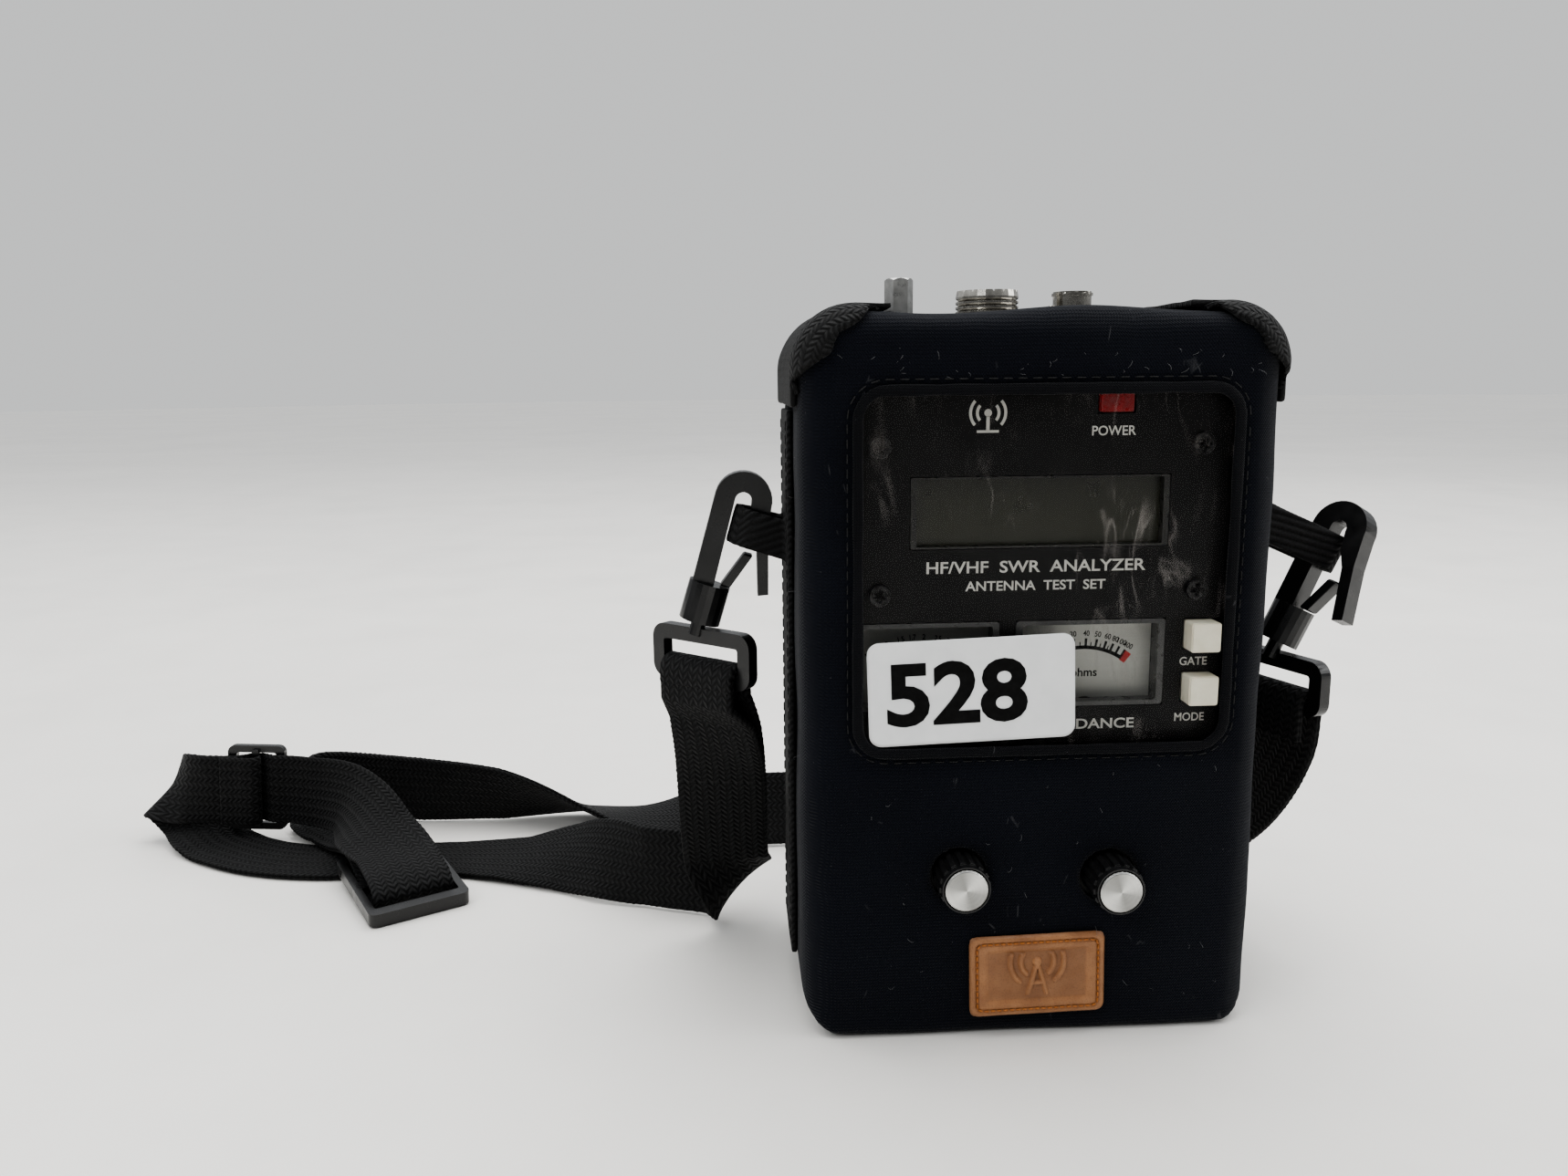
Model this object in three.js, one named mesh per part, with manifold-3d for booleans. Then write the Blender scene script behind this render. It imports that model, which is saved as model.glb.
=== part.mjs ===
// A handheld antenna analyser (SWR meter) in its padded neoprene carrying pouch, with the shoulder strap
// hooked on. Millimetres. X runs to the right, Y to the back and Z up; the origin is the middle of the
// pouch's flat underside, so the meter panel faces -Y.
import * as THREE from 'three';
import { mergeVertices } from 'three/addons/utils/BufferGeometryUtils.js';
import Module from 'manifold-3d';

const wasm = await Module();
wasm.setup();

// ---- Driving dimensions: the analyser's case ----
const caseWidth = 101.6;
const caseDepth = 63.5;
const caseHeight = 171.5;
const sheetThickness = 1.6;
const coverThickness = 1.2;
const overlayThickness = 0.5;

// ---- Driving dimensions: the pouch ----
const pouchWall = 3.5;
const pouchSideWall = 6.0;
const pouchSlack = 0.4;
const pouchTopRadius = 13;
const pouchBottomRadius = 11;
const pouchPlanRadius = 9;
const pouchEdgeRadius = 7;
const webbingWidth = 25;
const webbingThickness = 1.6;

// ---- Driving dimensions: the panel. A drop is measured down from the case's top, a rise up from its
// underside and an inset in from its side. ----
const windowInset = 4.8;
const windowHeight = 89;
const windowDrop = 57.4;
const windowRadius = 8;
const bindingBand = 2.7;
const bindingProud = 1.1;
const vinylThickness = 0.6;
const displayWidth = 62.4;
const displayHeight = 17.4;
const displayDrop = 43.1;
const meterWidth = 36.9;
const meterHeight = 21.8;
const meterDrop = 80.2;
const meterPitch = 40.6;
const meterMiddleX = -7.2;
const meterWall = 1.3;
const needleLength = 17.5;
const needleStop = THREE.MathUtils.degToRad(38);
const buttonSize = 7.2;
const buttonInset = 10.9;
const gateButtonDrop = 73.6;
const modeButtonDrop = 86.8;
const buttonTravel = 2;
const powerButtonSize = 8.3;
const powerButtonX = 17.5;
const powerButtonDrop = 15.7;
const panelScrewInset = 12.4;
const panelScrewDrops = [27.4, 62.4];
const knobDiameter = 12.6;
const knobProud = 8.9;
const tuneKnobX = -18.7;
const tuneKnobRise = 39;
const frequencyKnobX = 19;
const frequencyKnobRise = 37.3;
const shaftDiameter = 6;

// ---- Driving dimensions: the connectors on top ----
const socketX = -6.7;
const socketDiameter = 15.9;
const socketHeight = 10.1;
const bncX = 15.4;
const bncDiameter = 9.7;
const bncHeight = 9.7;
const groundPostX = -29.4;
const groundPostAcrossFlats = 6.35;
const groundPostHeight = 13.3;
const powerJackX = 38;

// ---- Driving dimensions: the strap hardware ----
const hookLength = 41.5;
const hookArchRadius = 7.5;
const hookEyeRadius = 2.2;
const hookThickness = 6;
const ringWidth = 34;
const ringHeight = 15;
const ringBar = 4;
const ringThickness = 3.4;
const sliderWidth = 31.4;
const floorSliderLength = 42;
const standingSliderLength = 20;
const strapThickness = 2;

// ---- Clearances ----
const gap = 0.3;
const fitGap = 0.2;
const movingGap = 0.4;

// ---- Levels worked out from the driving dimensions ----
const pouchWidth = caseWidth + 2 * (pouchSlack + pouchSideWall);
const pouchDepth = caseDepth + 2 * (pouchSlack + pouchWall);
const pouchHeight = caseHeight + 2 * (pouchSlack + pouchWall);
const caseBottom = pouchWall + pouchSlack;
const caseTop = caseBottom + caseHeight;
const panelFront = -caseDepth / 2;
const plateFront = panelFront + overlayThickness + 0.05;
const plateBack = plateFront + sheetThickness;
const coverInner = caseWidth / 2 - coverThickness;
const coverInnerBack = caseDepth / 2 - coverThickness;
const pouchFront = -pouchDepth / 2;
const pouchBack = pouchDepth / 2;
const vinylFront = pouchFront + 0.15;
const boardFront = -14;
const windowWidth = caseWidth - 2 * windowInset;
const windowCentreZ = caseTop - windowDrop;
const displayZ = caseTop - displayDrop;
const meterZ = caseTop - meterDrop;
const buttonX = caseWidth / 2 - buttonInset;
const gateButtonZ = caseTop - gateButtonDrop;
const modeButtonZ = caseTop - modeButtonDrop;
const powerButtonZ = caseTop - powerButtonDrop;
const panelScrewX = caseWidth / 2 - panelScrewInset;
const panelScrewZs = panelScrewDrops.map((drop) => caseTop - drop);
const tuneKnobZ = caseBottom + tuneKnobRise;
const frequencyKnobZ = caseBottom + frequencyKnobRise;

// ---- Looks: one material for each kind of surface ----
const looks = {
  neoprene: { color: 0x10121a, roughness: 0.95, metalness: 0 },
  webbing: { color: 0x0b0c0d, roughness: 0.9, metalness: 0 },
  binding: { color: 0x111216, roughness: 0.9, metalness: 0 },
  vinyl: { color: 0xaab0b4, roughness: 0.1, metalness: 0, transparent: true, opacity: 0.25 },
  leather: { color: 0x9a5b33, roughness: 0.6, metalness: 0 },
  label: { color: 0xd9dcdc, roughness: 0.5, metalness: 0 },
  acetal: { color: 0x101112, roughness: 0.35, metalness: 0 },
  panel: { color: 0x0c0d0f, roughness: 0.3, metalness: 0 },
  paint: { color: 0x1b1c1e, roughness: 0.5, metalness: 0.1 },
  glass: { color: 0x2b2d22, roughness: 0.15, metalness: 0 },
  bezel: { color: 0x151514, roughness: 0.4, metalness: 0 },
  board: { color: 0x1f5a33, roughness: 0.6, metalness: 0 },
  meterShell: { color: 0x8a8c8a, roughness: 0.4, metalness: 0 },
  dial: { color: 0xb6b6ad, roughness: 0.6, metalness: 0 },
  needle: { color: 0x141414, roughness: 0.5, metalness: 0 },
  cream: { color: 0xd8d2bf, roughness: 0.45, metalness: 0 },
  red: { color: 0xb31217, roughness: 0.4, metalness: 0 },
  knob: { color: 0x0d0d0e, roughness: 0.45, metalness: 0 },
  aluminium: { color: 0xc9cac8, roughness: 0.3, metalness: 1 },
  nickel: { color: 0xb9b4a8, roughness: 0.25, metalness: 1 },
  steel: { color: 0x9c9c9a, roughness: 0.35, metalness: 1 },
  blackScrew: { color: 0x18181a, roughness: 0.35, metalness: 0.6 },
  insulator: { color: 0xe6e2d4, roughness: 0.4, metalness: 0 },
  component: { color: 0x2a2a2c, roughness: 0.5, metalness: 0 },
  cell: { color: 0x3a6a78, roughness: 0.4, metalness: 0.3 },
};

const analyser = new THREE.Group();

// ---- Solids ----
function toSolid(geometry) {
  const bare = geometry.clone();
  bare.deleteAttribute('normal');
  bare.deleteAttribute('uv');
  const merged = mergeVertices(bare, 1e-4);
  const mesh = new wasm.Mesh({
    numProp: 3,
    vertProperties: new Float32Array(merged.attributes.position.array),
    triVerts: new Uint32Array(merged.index.array),
  });
  return new wasm.Manifold(mesh);
}

function toGeometry(solid) {
  const mesh = solid.getMesh();
  const geometry = new THREE.BufferGeometry();
  geometry.setAttribute('position', new THREE.BufferAttribute(mesh.vertProperties, 3));
  geometry.setIndex(new THREE.BufferAttribute(mesh.triVerts, 1));
  geometry.computeVertexNormals();
  return geometry;
}

function addPart(name, solid, look, parent = analyser) {
  const mesh = new THREE.Mesh(toGeometry(solid), new THREE.MeshStandardMaterial(looks[look]));
  mesh.name = name;
  parent.add(mesh);
  return mesh;
}

function join(solids) {
  return solids.reduce((whole, piece) => whole.add(piece));
}

function block(x0, x1, y0, y1, z0, z1) {
  const geometry = new THREE.BoxGeometry(x1 - x0, y1 - y0, z1 - z0);
  geometry.translate((x0 + x1) / 2, (y0 + y1) / 2, (z0 + z1) / 2);
  return toSolid(geometry);
}

function squareBar(x, z, size, y0, y1) {
  return block(x - size / 2, x + size / 2, y0, y1, z - size / 2, z + size / 2);
}

function barY(radius, y0, y1, x = 0, z = 0, sides = 32) {
  const geometry = new THREE.CylinderGeometry(radius, radius, y1 - y0, sides);
  geometry.translate(x, (y0 + y1) / 2, z);
  return toSolid(geometry);
}

function barZ(radius, z0, z1, x = 0, y = 0, sides = 32) {
  const geometry = new THREE.CylinderGeometry(radius, radius, z1 - z0, sides);
  geometry.rotateX(Math.PI / 2);
  geometry.translate(x, y, (z0 + z1) / 2);
  return toSolid(geometry);
}

function barX(radius, x0, x1, y = 0, z = 0, sides = 16) {
  const geometry = new THREE.CylinderGeometry(radius, radius, x1 - x0, sides);
  geometry.rotateZ(Math.PI / 2);
  geometry.translate((x0 + x1) / 2, y, z);
  return toSolid(geometry);
}

function prism(shape, depth, curveSegments) {
  return new THREE.ExtrudeGeometry(shape, { depth, curveSegments, bevelEnabled: false });
}

// A shape drawn in X and Y, from z0 up to z1.
function prismZ(shape, z0, z1, curveSegments = 5) {
  const geometry = prism(shape, z1 - z0, curveSegments);
  geometry.translate(0, 0, z0);
  return toSolid(geometry);
}

// A shape drawn in X and Z, from y0 back to y1.
function prismY(shape, y0, y1, curveSegments = 5) {
  const geometry = prism(shape, y1 - y0, curveSegments);
  geometry.rotateX(Math.PI / 2);
  geometry.translate(0, y1, 0);
  return toSolid(geometry);
}

// A shape drawn in Y and Z, from x0 across to x1.
function prismX(shape, x0, x1, curveSegments = 5) {
  const geometry = prism(shape, x1 - x0, curveSegments);
  const axes = [new THREE.Vector3(0, 1, 0), new THREE.Vector3(0, 0, 1), new THREE.Vector3(1, 0, 0)];
  geometry.applyMatrix4(new THREE.Matrix4().makeBasis(...axes));
  geometry.translate(x0, 0, 0);
  return toSolid(geometry);
}

// A rectangle from (u0, v0) to (u1, v1) with one radius at its lower corners and one at its upper.
function roundedBox(u0, u1, v0, v1, lower, upper = lower) {
  const shape = new THREE.Shape();
  shape.moveTo(u0 + lower, v0);
  shape.lineTo(u1 - lower, v0);
  shape.absarc(u1 - lower, v0 + lower, lower, -Math.PI / 2, 0);
  shape.lineTo(u1, v1 - upper);
  shape.absarc(u1 - upper, v1 - upper, upper, 0, Math.PI / 2);
  shape.lineTo(u0 + upper, v1);
  shape.absarc(u0 + upper, v1 - upper, upper, Math.PI / 2, Math.PI);
  shape.lineTo(u0, v0 + lower);
  shape.absarc(u0 + lower, v0 + lower, lower, Math.PI, 1.5 * Math.PI);
  return shape;
}

function centredBox(u, v, width, height, radius) {
  return roundedBox(u - width / 2, u + width / 2, v - height / 2, v + height / 2, radius);
}

// ---- Panel cut-outs shared by the overlay and the plate behind it ----
const meterXs = { swr: meterMiddleX - meterPitch / 2, impedance: meterMiddleX + meterPitch / 2 };
const screwPlaces = panelScrewZs.flatMap((z) => [[-panelScrewX, z], [panelScrewX, z]]);
const knobPlaces = [[tuneKnobX, tuneKnobZ], [frequencyKnobX, frequencyKnobZ]];
const screwShank = 2.6;

function panelCuts(y0, y1) {
  const cuts = [
    block(-displayWidth / 2, displayWidth / 2, y0, y1, displayZ - displayHeight / 2, displayZ + displayHeight / 2),
    squareBar(buttonX, gateButtonZ, buttonSize + 2 * movingGap, y0, y1),
    squareBar(buttonX, modeButtonZ, buttonSize + 2 * movingGap, y0, y1),
    squareBar(powerButtonX, powerButtonZ, powerButtonSize + 2 * movingGap, y0, y1),
  ];
  for (const x of Object.values(meterXs)) {
    const half = meterWidth / 2;
    cuts.push(block(x - half, x + half, y0, y1, meterZ - meterHeight / 2, meterZ + meterHeight / 2));
  }
  for (const [x, z] of knobPlaces) {
    cuts.push(barY(shaftDiameter / 2 + 1, y0, y1, x, z, 20));
  }
  for (const [x, z] of screwPlaces) {
    cuts.push(barY(screwShank / 2 + fitGap, y0, y1, x, z, 12));
  }
  return join(cuts);
}

// ---- Case ----
function frontChassis() {
  const half = caseWidth / 2;
  const flangeHalf = coverInner - gap;
  const flangeBack = coverInnerBack - gap;
  const plate = block(-half, half, plateFront, plateBack, caseBottom, caseTop);
  const top = block(-flangeHalf, flangeHalf, plateFront, flangeBack, caseTop - sheetThickness, caseTop);
  const bottom = block(-flangeHalf, flangeHalf, plateFront, flangeBack, caseBottom, caseBottom + sheetThickness);
  const holes = [
    barZ(socketDiameter / 2 + gap, caseTop - 5, caseTop + 5, socketX),
    barZ(bncDiameter / 2 + gap, caseTop - 5, caseTop + 5, bncX),
    barZ(groundPostAcrossFlats / 2 - 0.4, caseTop - 5, caseTop + 5, groundPostX),
    barZ(3.5 + gap, caseTop - 5, caseTop + 5, powerJackX, 0, 20),
  ];
  return join([plate, top, bottom]).subtract(join(holes)).subtract(panelCuts(plateFront - 1, plateBack + 1));
}

function backCover() {
  const half = caseWidth / 2;
  const back = caseDepth / 2;
  const front = plateBack + gap;
  const outside = block(-half, half, front, back, caseBottom, caseTop);
  const inside = block(-coverInner, coverInner, front - 1, coverInnerBack, caseBottom - 1, caseTop + 1);
  return outside.subtract(inside);
}

function panelOverlay() {
  const inset = 0.5;
  const half = caseWidth / 2 - inset;
  const shape = roundedBox(-half, half, caseBottom + inset, caseTop - inset, 1.5);
  const sheet = prismY(shape, panelFront, panelFront + overlayThickness);
  return sheet.subtract(panelCuts(panelFront - 1, panelFront + 1));
}

addPart('front_chassis', frontChassis(), 'paint');
addPart('back_cover', backCover(), 'paint');
addPart('panel_overlay', panelOverlay(), 'panel');

screwPlaces.forEach(([x, z], index) => {
  const head = barY(2.6, panelFront - 1.5, panelFront - 0.05, x, z, 20);
  const slot = block(x - 0.4, x + 0.4, panelFront - 2, panelFront - 0.9, z - 1.6, z + 1.6);
  const crossSlot = block(x - 1.6, x + 1.6, panelFront - 2, panelFront - 0.9, z - 0.4, z + 0.4);
  const shank = barY(screwShank / 2, panelFront - 0.5, plateBack + 3, x, z, 12);
  addPart(`panel_screw_${index + 1}`, join([head, shank]).subtract(slot).subtract(crossSlot), 'blackScrew');
});

// ---- Display ----
const displayFrame = 1.6;
const displayGlassFront = plateBack + gap;

function displayBezel() {
  const inner = centredBox(0, displayZ, displayWidth - 2 * displayFrame, displayHeight - 1.4, 0.4);
  const outer = centredBox(0, displayZ, displayWidth - 2 * fitGap, displayHeight - 2 * fitGap, 0.4);
  outer.holes.push(inner);
  return prismY(outer, panelFront, displayGlassFront - fitGap);
}

addPart('display_bezel', displayBezel(), 'bezel');
const glassShape = centredBox(0, displayZ, displayWidth + 6, displayHeight + 4, 0.5);
addPart('display_glass', prismY(glassShape, displayGlassFront, displayGlassFront + 2.4), 'glass');

// ---- Boards ----
const mainBoardBottom = caseTop - 101.4;

function mainBoard() {
  const half = coverInner - 3;
  return prismY(roundedBox(-half, half, mainBoardBottom, caseTop - 5, 1), boardFront, boardFront + 1.6);
}

addPart('main_board', mainBoard(), 'board');
addPart('rf_board', block(-40, 40, boardFront + 3, coverInnerBack - 4, caseTop - 20, caseTop - 18.4), 'board');

// ---- Panel meters ----
const pivotZ = meterZ - meterHeight / 2 - 4;
const meterBodyFront = plateBack + gap;
const meterBodyBack = boardFront - 1.5;
const dialFront = meterBodyFront + 3;

function meterHousing(x) {
  const half = meterWidth / 2;
  const top = meterZ + meterHeight / 2;
  const low = pivotZ - 5;
  const body = block(x - half, x + half, meterBodyFront, meterBodyBack, low, top + 1);
  const snout = centredBox(x, meterZ, meterWidth - 2 * fitGap, meterHeight - 2 * fitGap, 0.8);
  const mouth = centredBox(x, meterZ, meterWidth - 2 * meterWall - 1, meterHeight - 2 * meterWall, 0.6);
  const room = block(
    x - half + meterWall, x + half - meterWall, meterBodyFront + meterWall, meterBodyBack - meterWall,
    low + meterWall, top + 1 - meterWall,
  );
  return body.add(prismY(snout, panelFront - 0.2, meterBodyFront + 0.5))
    .subtract(room)
    .subtract(prismY(mouth, panelFront - 1, meterBodyFront + meterWall + 0.5));
}

function meterDial(x) {
  const half = meterWidth / 2 - meterWall - fitGap;
  const low = pivotZ - 5 + meterWall + fitGap;
  const top = meterZ + meterHeight / 2 + 1 - meterWall - fitGap;
  const plate = block(x - half, x + half, dialFront, dialFront + 0.6, low, top);
  return plate.subtract(barY(2.8, dialFront - 1, dialFront + 2, x, pivotZ, 16));
}

function meterNeedle() {
  const front = dialFront - 0.9;
  const pointer = block(-0.3, 0.3, front, front + 0.4, -3, needleLength);
  const weight = block(-0.9, 0.9, front, front + 0.6, -3, -1.5);
  const hub = barY(1.9, front - 0.3, dialFront + 5, 0, 0, 16);
  return join([pointer, weight, hub]);
}

for (const [name, x] of Object.entries(meterXs)) {
  addPart(`${name}_meter_housing`, meterHousing(x), 'meterShell');
  addPart(`${name}_meter_dial`, meterDial(x), 'dial');
  const needle = addPart(`${name}_needle`, meterNeedle(), 'needle');
  needle.position.set(x, 0, pivotZ);
  needle.rotation.y = -needleStop;
}

// ---- Push buttons and the switches behind them ----
const stemSize = 3;

function pushButton(size, front) {
  const crown = 0.5;
  const face = centredBox(0, 0, size - crown, size - crown, 0.6);
  const skirt = centredBox(0, 0, size, size, 0.6);
  const back = plateFront + 0.8;
  const stemBack = back + 12;
  return join([
    prismY(face, front, front + crown + 0.1, 3),
    prismY(skirt, front + crown, back, 3),
    squareBar(0, 0, stemSize, back - 0.1, stemBack),
  ]);
}

function buttonSwitch(size) {
  const front = plateFront + 0.8 + buttonTravel + 1;
  const body = squareBar(0, 0, size, front, boardFront - gap);
  return body.subtract(squareBar(0, 0, stemSize + 2 * movingGap, front - 1, boardFront - gap - 0.8));
}

const buttonFront = pouchFront - 1.1;
const powerButtonFront = panelFront - 0.35;
const buttons = [
  ['gate', buttonX, gateButtonZ, buttonSize, buttonFront, 'cream'],
  ['mode', buttonX, modeButtonZ, buttonSize, buttonFront, 'cream'],
  ['power', powerButtonX, powerButtonZ, powerButtonSize, powerButtonFront, 'red'],
];
for (const [name, x, z, size, front, look] of buttons) {
  addPart(`${name}_button`, pushButton(size, front), look).position.set(x, 0, z);
  addPart(`${name}_switch`, buttonSwitch(size + 1), 'component').position.set(x, 0, z);
}

// ---- Knobs, their shafts and what the shafts turn ----
const knobFront = pouchFront - knobProud;
const knobBack = panelFront - 1.2;
const capRadius = knobDiameter / 2 - 1;
const capThickness = 1.7;
const knobRimBack = knobFront + 2.4;

function flutedShape(radius, depth, flutes) {
  const shape = new THREE.Shape();
  const pitch = 2 * Math.PI / flutes;
  for (let flute = 0; flute < flutes; flute += 1) {
    const start = flute * pitch;
    const corners = [[radius, 0], [radius, 0.5], [radius - depth, 0.6], [radius - depth, 0.9]];
    for (const [reach, share] of corners) {
      const angle = start + share * pitch;
      const method = flute === 0 && share === 0 ? 'moveTo' : 'lineTo';
      shape[method](reach * Math.cos(angle), reach * Math.sin(angle));
    }
  }
  return shape;
}

function knobBody() {
  const skirt = prismY(flutedShape(knobDiameter / 2, 0.7, 16), knobRimBack - 0.1, knobBack, 1);
  const rim = barY(knobDiameter / 2 - 0.4, knobFront + 0.4, knobRimBack, 0, 0, 32);
  const recess = barY(capRadius + fitGap, knobFront - 1, knobFront + capThickness, 0, 0, 32);
  const bore = barY(shaftDiameter / 2 + fitGap, knobRimBack + 1, knobBack + 1, 0, 0, 24);
  return join([skirt, rim]).subtract(recess).subtract(bore);
}

function knobCap() {
  const points = [
    new THREE.Vector2(0, 0),
    new THREE.Vector2(capRadius, 0),
    new THREE.Vector2(capRadius, capThickness - 0.5),
    new THREE.Vector2(capRadius - 0.5, capThickness - fitGap),
    new THREE.Vector2(0, capThickness - fitGap),
  ];
  const geometry = new THREE.LatheGeometry(points, 32);
  geometry.rotateX(Math.PI);
  geometry.translate(0, knobFront + capThickness - fitGap, 0);
  return toSolid(geometry);
}

const shaftBack = -12;
const controlFront = plateBack + 0.5;
const controlBack = -9;

function controlShaft() {
  return barY(shaftDiameter / 2, knobRimBack + 1.5, shaftBack, 0, 0, 24);
}

function controlBody(width, height) {
  const bush = barY(shaftDiameter / 2 + 1.4, controlFront, controlFront + 3, 0, 0, 20);
  const body = block(-width / 2, width / 2, controlFront + 2.5, controlBack, -height / 2, height / 2);
  return body.add(bush).subtract(barY(shaftDiameter / 2 + fitGap, controlFront - 1, shaftBack + 1, 0, 0, 24));
}

const controls = [
  ['tune', tuneKnobX, tuneKnobZ, 'tune_capacitor', 28, 30],
  ['frequency', frequencyKnobX, frequencyKnobZ, 'band_switch', 30, 26],
];
for (const [name, x, z, bodyName, width, height] of controls) {
  addPart(`${name}_knob`, knobBody(), 'knob').position.set(x, 0, z);
  addPart(`${name}_knob_cap`, knobCap(), 'aluminium').position.set(x, 0, z);
  addPart(`${name}_shaft`, controlShaft(), 'steel').position.set(x, 0, z);
  addPart(bodyName, controlBody(width, height), 'component').position.set(x, 0, z);
}

// ---- Batteries ----
const cellDiameter = 14.5;
const cellLength = 50.5;
const cellColumns = 5;
const trayWall = 1.4;
const trayBottom = caseBottom + sheetThickness + 12;
const cellY = coverInnerBack - gap - trayWall - gap - cellDiameter / 2;
const cellPitch = cellDiameter - 0.05;
const trayInnerHalf = (cellPitch * (cellColumns - 1) + cellDiameter) / 2 + gap;
const cellStackHeight = 2 * cellLength;

function cellPack() {
  const cells = [];
  const bottom = trayBottom + trayWall + gap;
  for (let column = 0; column < cellColumns; column += 1) {
    const x = (column - (cellColumns - 1) / 2) * cellPitch;
    cells.push(barZ(cellDiameter / 2, bottom, bottom + cellStackHeight, x, cellY, 16));
  }
  return join(cells);
}

function batteryTray() {
  const front = cellY - cellDiameter / 2 - gap;
  const back = coverInnerBack - gap;
  const half = trayInnerHalf + trayWall;
  const top = trayBottom + cellStackHeight + 2 * (trayWall + gap);
  const outside = block(-half, half, front, back, trayBottom, top);
  const inside = block(-trayInnerHalf, trayInnerHalf, front - 1, back - trayWall, trayBottom + trayWall, top - trayWall);
  return outside.subtract(inside);
}

addPart('battery_tray', batteryTray(), 'component');
addPart('battery_cells', cellPack(), 'cell');

// ---- Connectors on top ----
const socketTop = caseTop + socketHeight;
const socketBoreRadius = 6.3;
const flangeThickness = 1.6;
const threadPitch = 1.2;

function socketShell() {
  const outer = socketDiameter / 2;
  const root = outer - 0.6;
  const threads = 6;
  const points = [];
  const flangeTop = caseTop - sheetThickness - gap;
  points.push(new THREE.Vector2(socketBoreRadius, flangeTop - flangeThickness));
  points.push(new THREE.Vector2(outer, flangeTop - flangeThickness));
  points.push(new THREE.Vector2(outer, socketTop - 1.6 - threads * threadPitch));
  for (let turn = 0; turn < threads; turn += 1) {
    const base = socketTop - 1.6 - (threads - turn) * threadPitch;
    points.push(new THREE.Vector2(root, base + threadPitch * 0.25));
    points.push(new THREE.Vector2(outer, base + threadPitch * 0.6));
    points.push(new THREE.Vector2(outer, base + threadPitch));
  }
  points.push(new THREE.Vector2(outer - 0.3, socketTop));
  points.push(new THREE.Vector2(socketBoreRadius, socketTop));
  points.push(points[0].clone());
  const lathe = new THREE.LatheGeometry(points, 24);
  lathe.rotateX(Math.PI / 2);
  lathe.translate(socketX, 0, 0);
  const flange = centredBox(socketX, 0, 25.4, 25.4, 2);
  flange.holes.push(new THREE.Path().absarc(socketX, 0, socketBoreRadius + 0.5, 0, 2 * Math.PI, true));
  return toSolid(lathe).add(prismZ(flange, flangeTop - flangeThickness, flangeTop, 8));
}

function crownNotches() {
  const teeth = 18;
  const notches = [];
  for (let tooth = 0; tooth < teeth; tooth += 1) {
    const notch = new THREE.CylinderGeometry(0.75, 0.75, 4, 3);
    notch.rotateZ(Math.PI / 2);
    notch.rotateX(Math.PI);
    notch.translate(socketDiameter / 2 - 0.7, 0, 0);
    notch.rotateZ((tooth + 0.5) * 2 * Math.PI / teeth);
    notch.translate(socketX, 0, socketTop + 0.15);
    notches.push(toSolid(notch));
  }
  return join(notches);
}

const insulatorTop = socketTop - 4.5;
const socketDeep = caseTop - sheetThickness - gap - flangeThickness;

function socketInsulator() {
  const disc = barZ(socketBoreRadius - fitGap, socketDeep - 3, insulatorTop, socketX, 0, 28);
  return disc.subtract(barZ(2.4 + fitGap, socketDeep - 4, insulatorTop + 1, socketX, 0, 20));
}

function socketContact() {
  const tube = barZ(2.4, socketDeep - 8, insulatorTop + 0.2, socketX, 0, 20);
  return tube.subtract(barZ(1.9, insulatorTop - 6, insulatorTop + 1, socketX, 0, 20));
}

addPart('uhf_socket_shell', socketShell().subtract(crownNotches()), 'nickel');
addPart('uhf_socket_insulator', socketInsulator(), 'insulator');
addPart('uhf_socket_contact', socketContact(), 'nickel');

function bncShell() {
  const top = caseTop + bncHeight;
  const radius = bncDiameter / 2;
  const low = caseTop - sheetThickness - gap - 2;
  const barrel = barZ(radius, low, top, bncX, 0, 32);
  const lip = barZ(radius + 0.35, top - 1.1, top - 0.4, bncX, 0, 32);
  const collar = barZ(radius + 1.4, low, low + 2, bncX, 0, 6);
  const lugs = barX(1, bncX - radius - 1.1, bncX + radius + 1.1, 0, caseTop + 5.4, 12);
  return join([barrel, lip, collar, lugs]).subtract(barZ(radius - 0.8, low - 1, top + 1, bncX, 0, 32));
}

function bncInsulator() {
  const top = caseTop + bncHeight - 1.5;
  const low = caseTop - sheetThickness - gap - 2;
  const base = barZ(bncDiameter / 2 - 0.8 - fitGap, low, caseTop + 1.5, bncX, 0, 28);
  const tube = barZ(2.3, caseTop, top, bncX, 0, 20);
  const pin = barZ(0.9, low - 5, low + 1, bncX, 0, 10);
  return join([base, tube, pin]).subtract(barZ(0.8, caseTop + 4, top + 1, bncX, 0, 12));
}

addPart('bnc_socket_shell', bncShell(), 'nickel');
addPart('bnc_socket_insulator', bncInsulator(), 'insulator');

function groundPost() {
  const corner = groundPostAcrossFlats / Math.sqrt(3);
  const top = caseTop + groundPostHeight;
  const hex = new THREE.CylinderGeometry(corner, corner, groundPostHeight - 0.1, 6);
  hex.rotateX(Math.PI / 2);
  hex.rotateZ(Math.PI / 6);
  hex.translate(groundPostX, 0, (top + caseTop + 0.1) / 2);
  const cone = new THREE.CylinderGeometry(corner - 0.5, corner - 0.5 + 2.4, 2.4, 24);
  cone.rotateX(Math.PI / 2);
  cone.translate(groundPostX, 0, top - 1.2);
  const chamfer = toSolid(cone).add(barZ(corner + 1, caseTop, top - 2.3, groundPostX, 0, 24));
  const stud = barZ(groundPostAcrossFlats / 2 - 0.7, caseTop - 8, caseTop + 0.5, groundPostX, 0, 16);
  return toSolid(hex).intersect(chamfer).add(stud);
}

addPart('ground_post', groundPost(), 'nickel');

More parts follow.
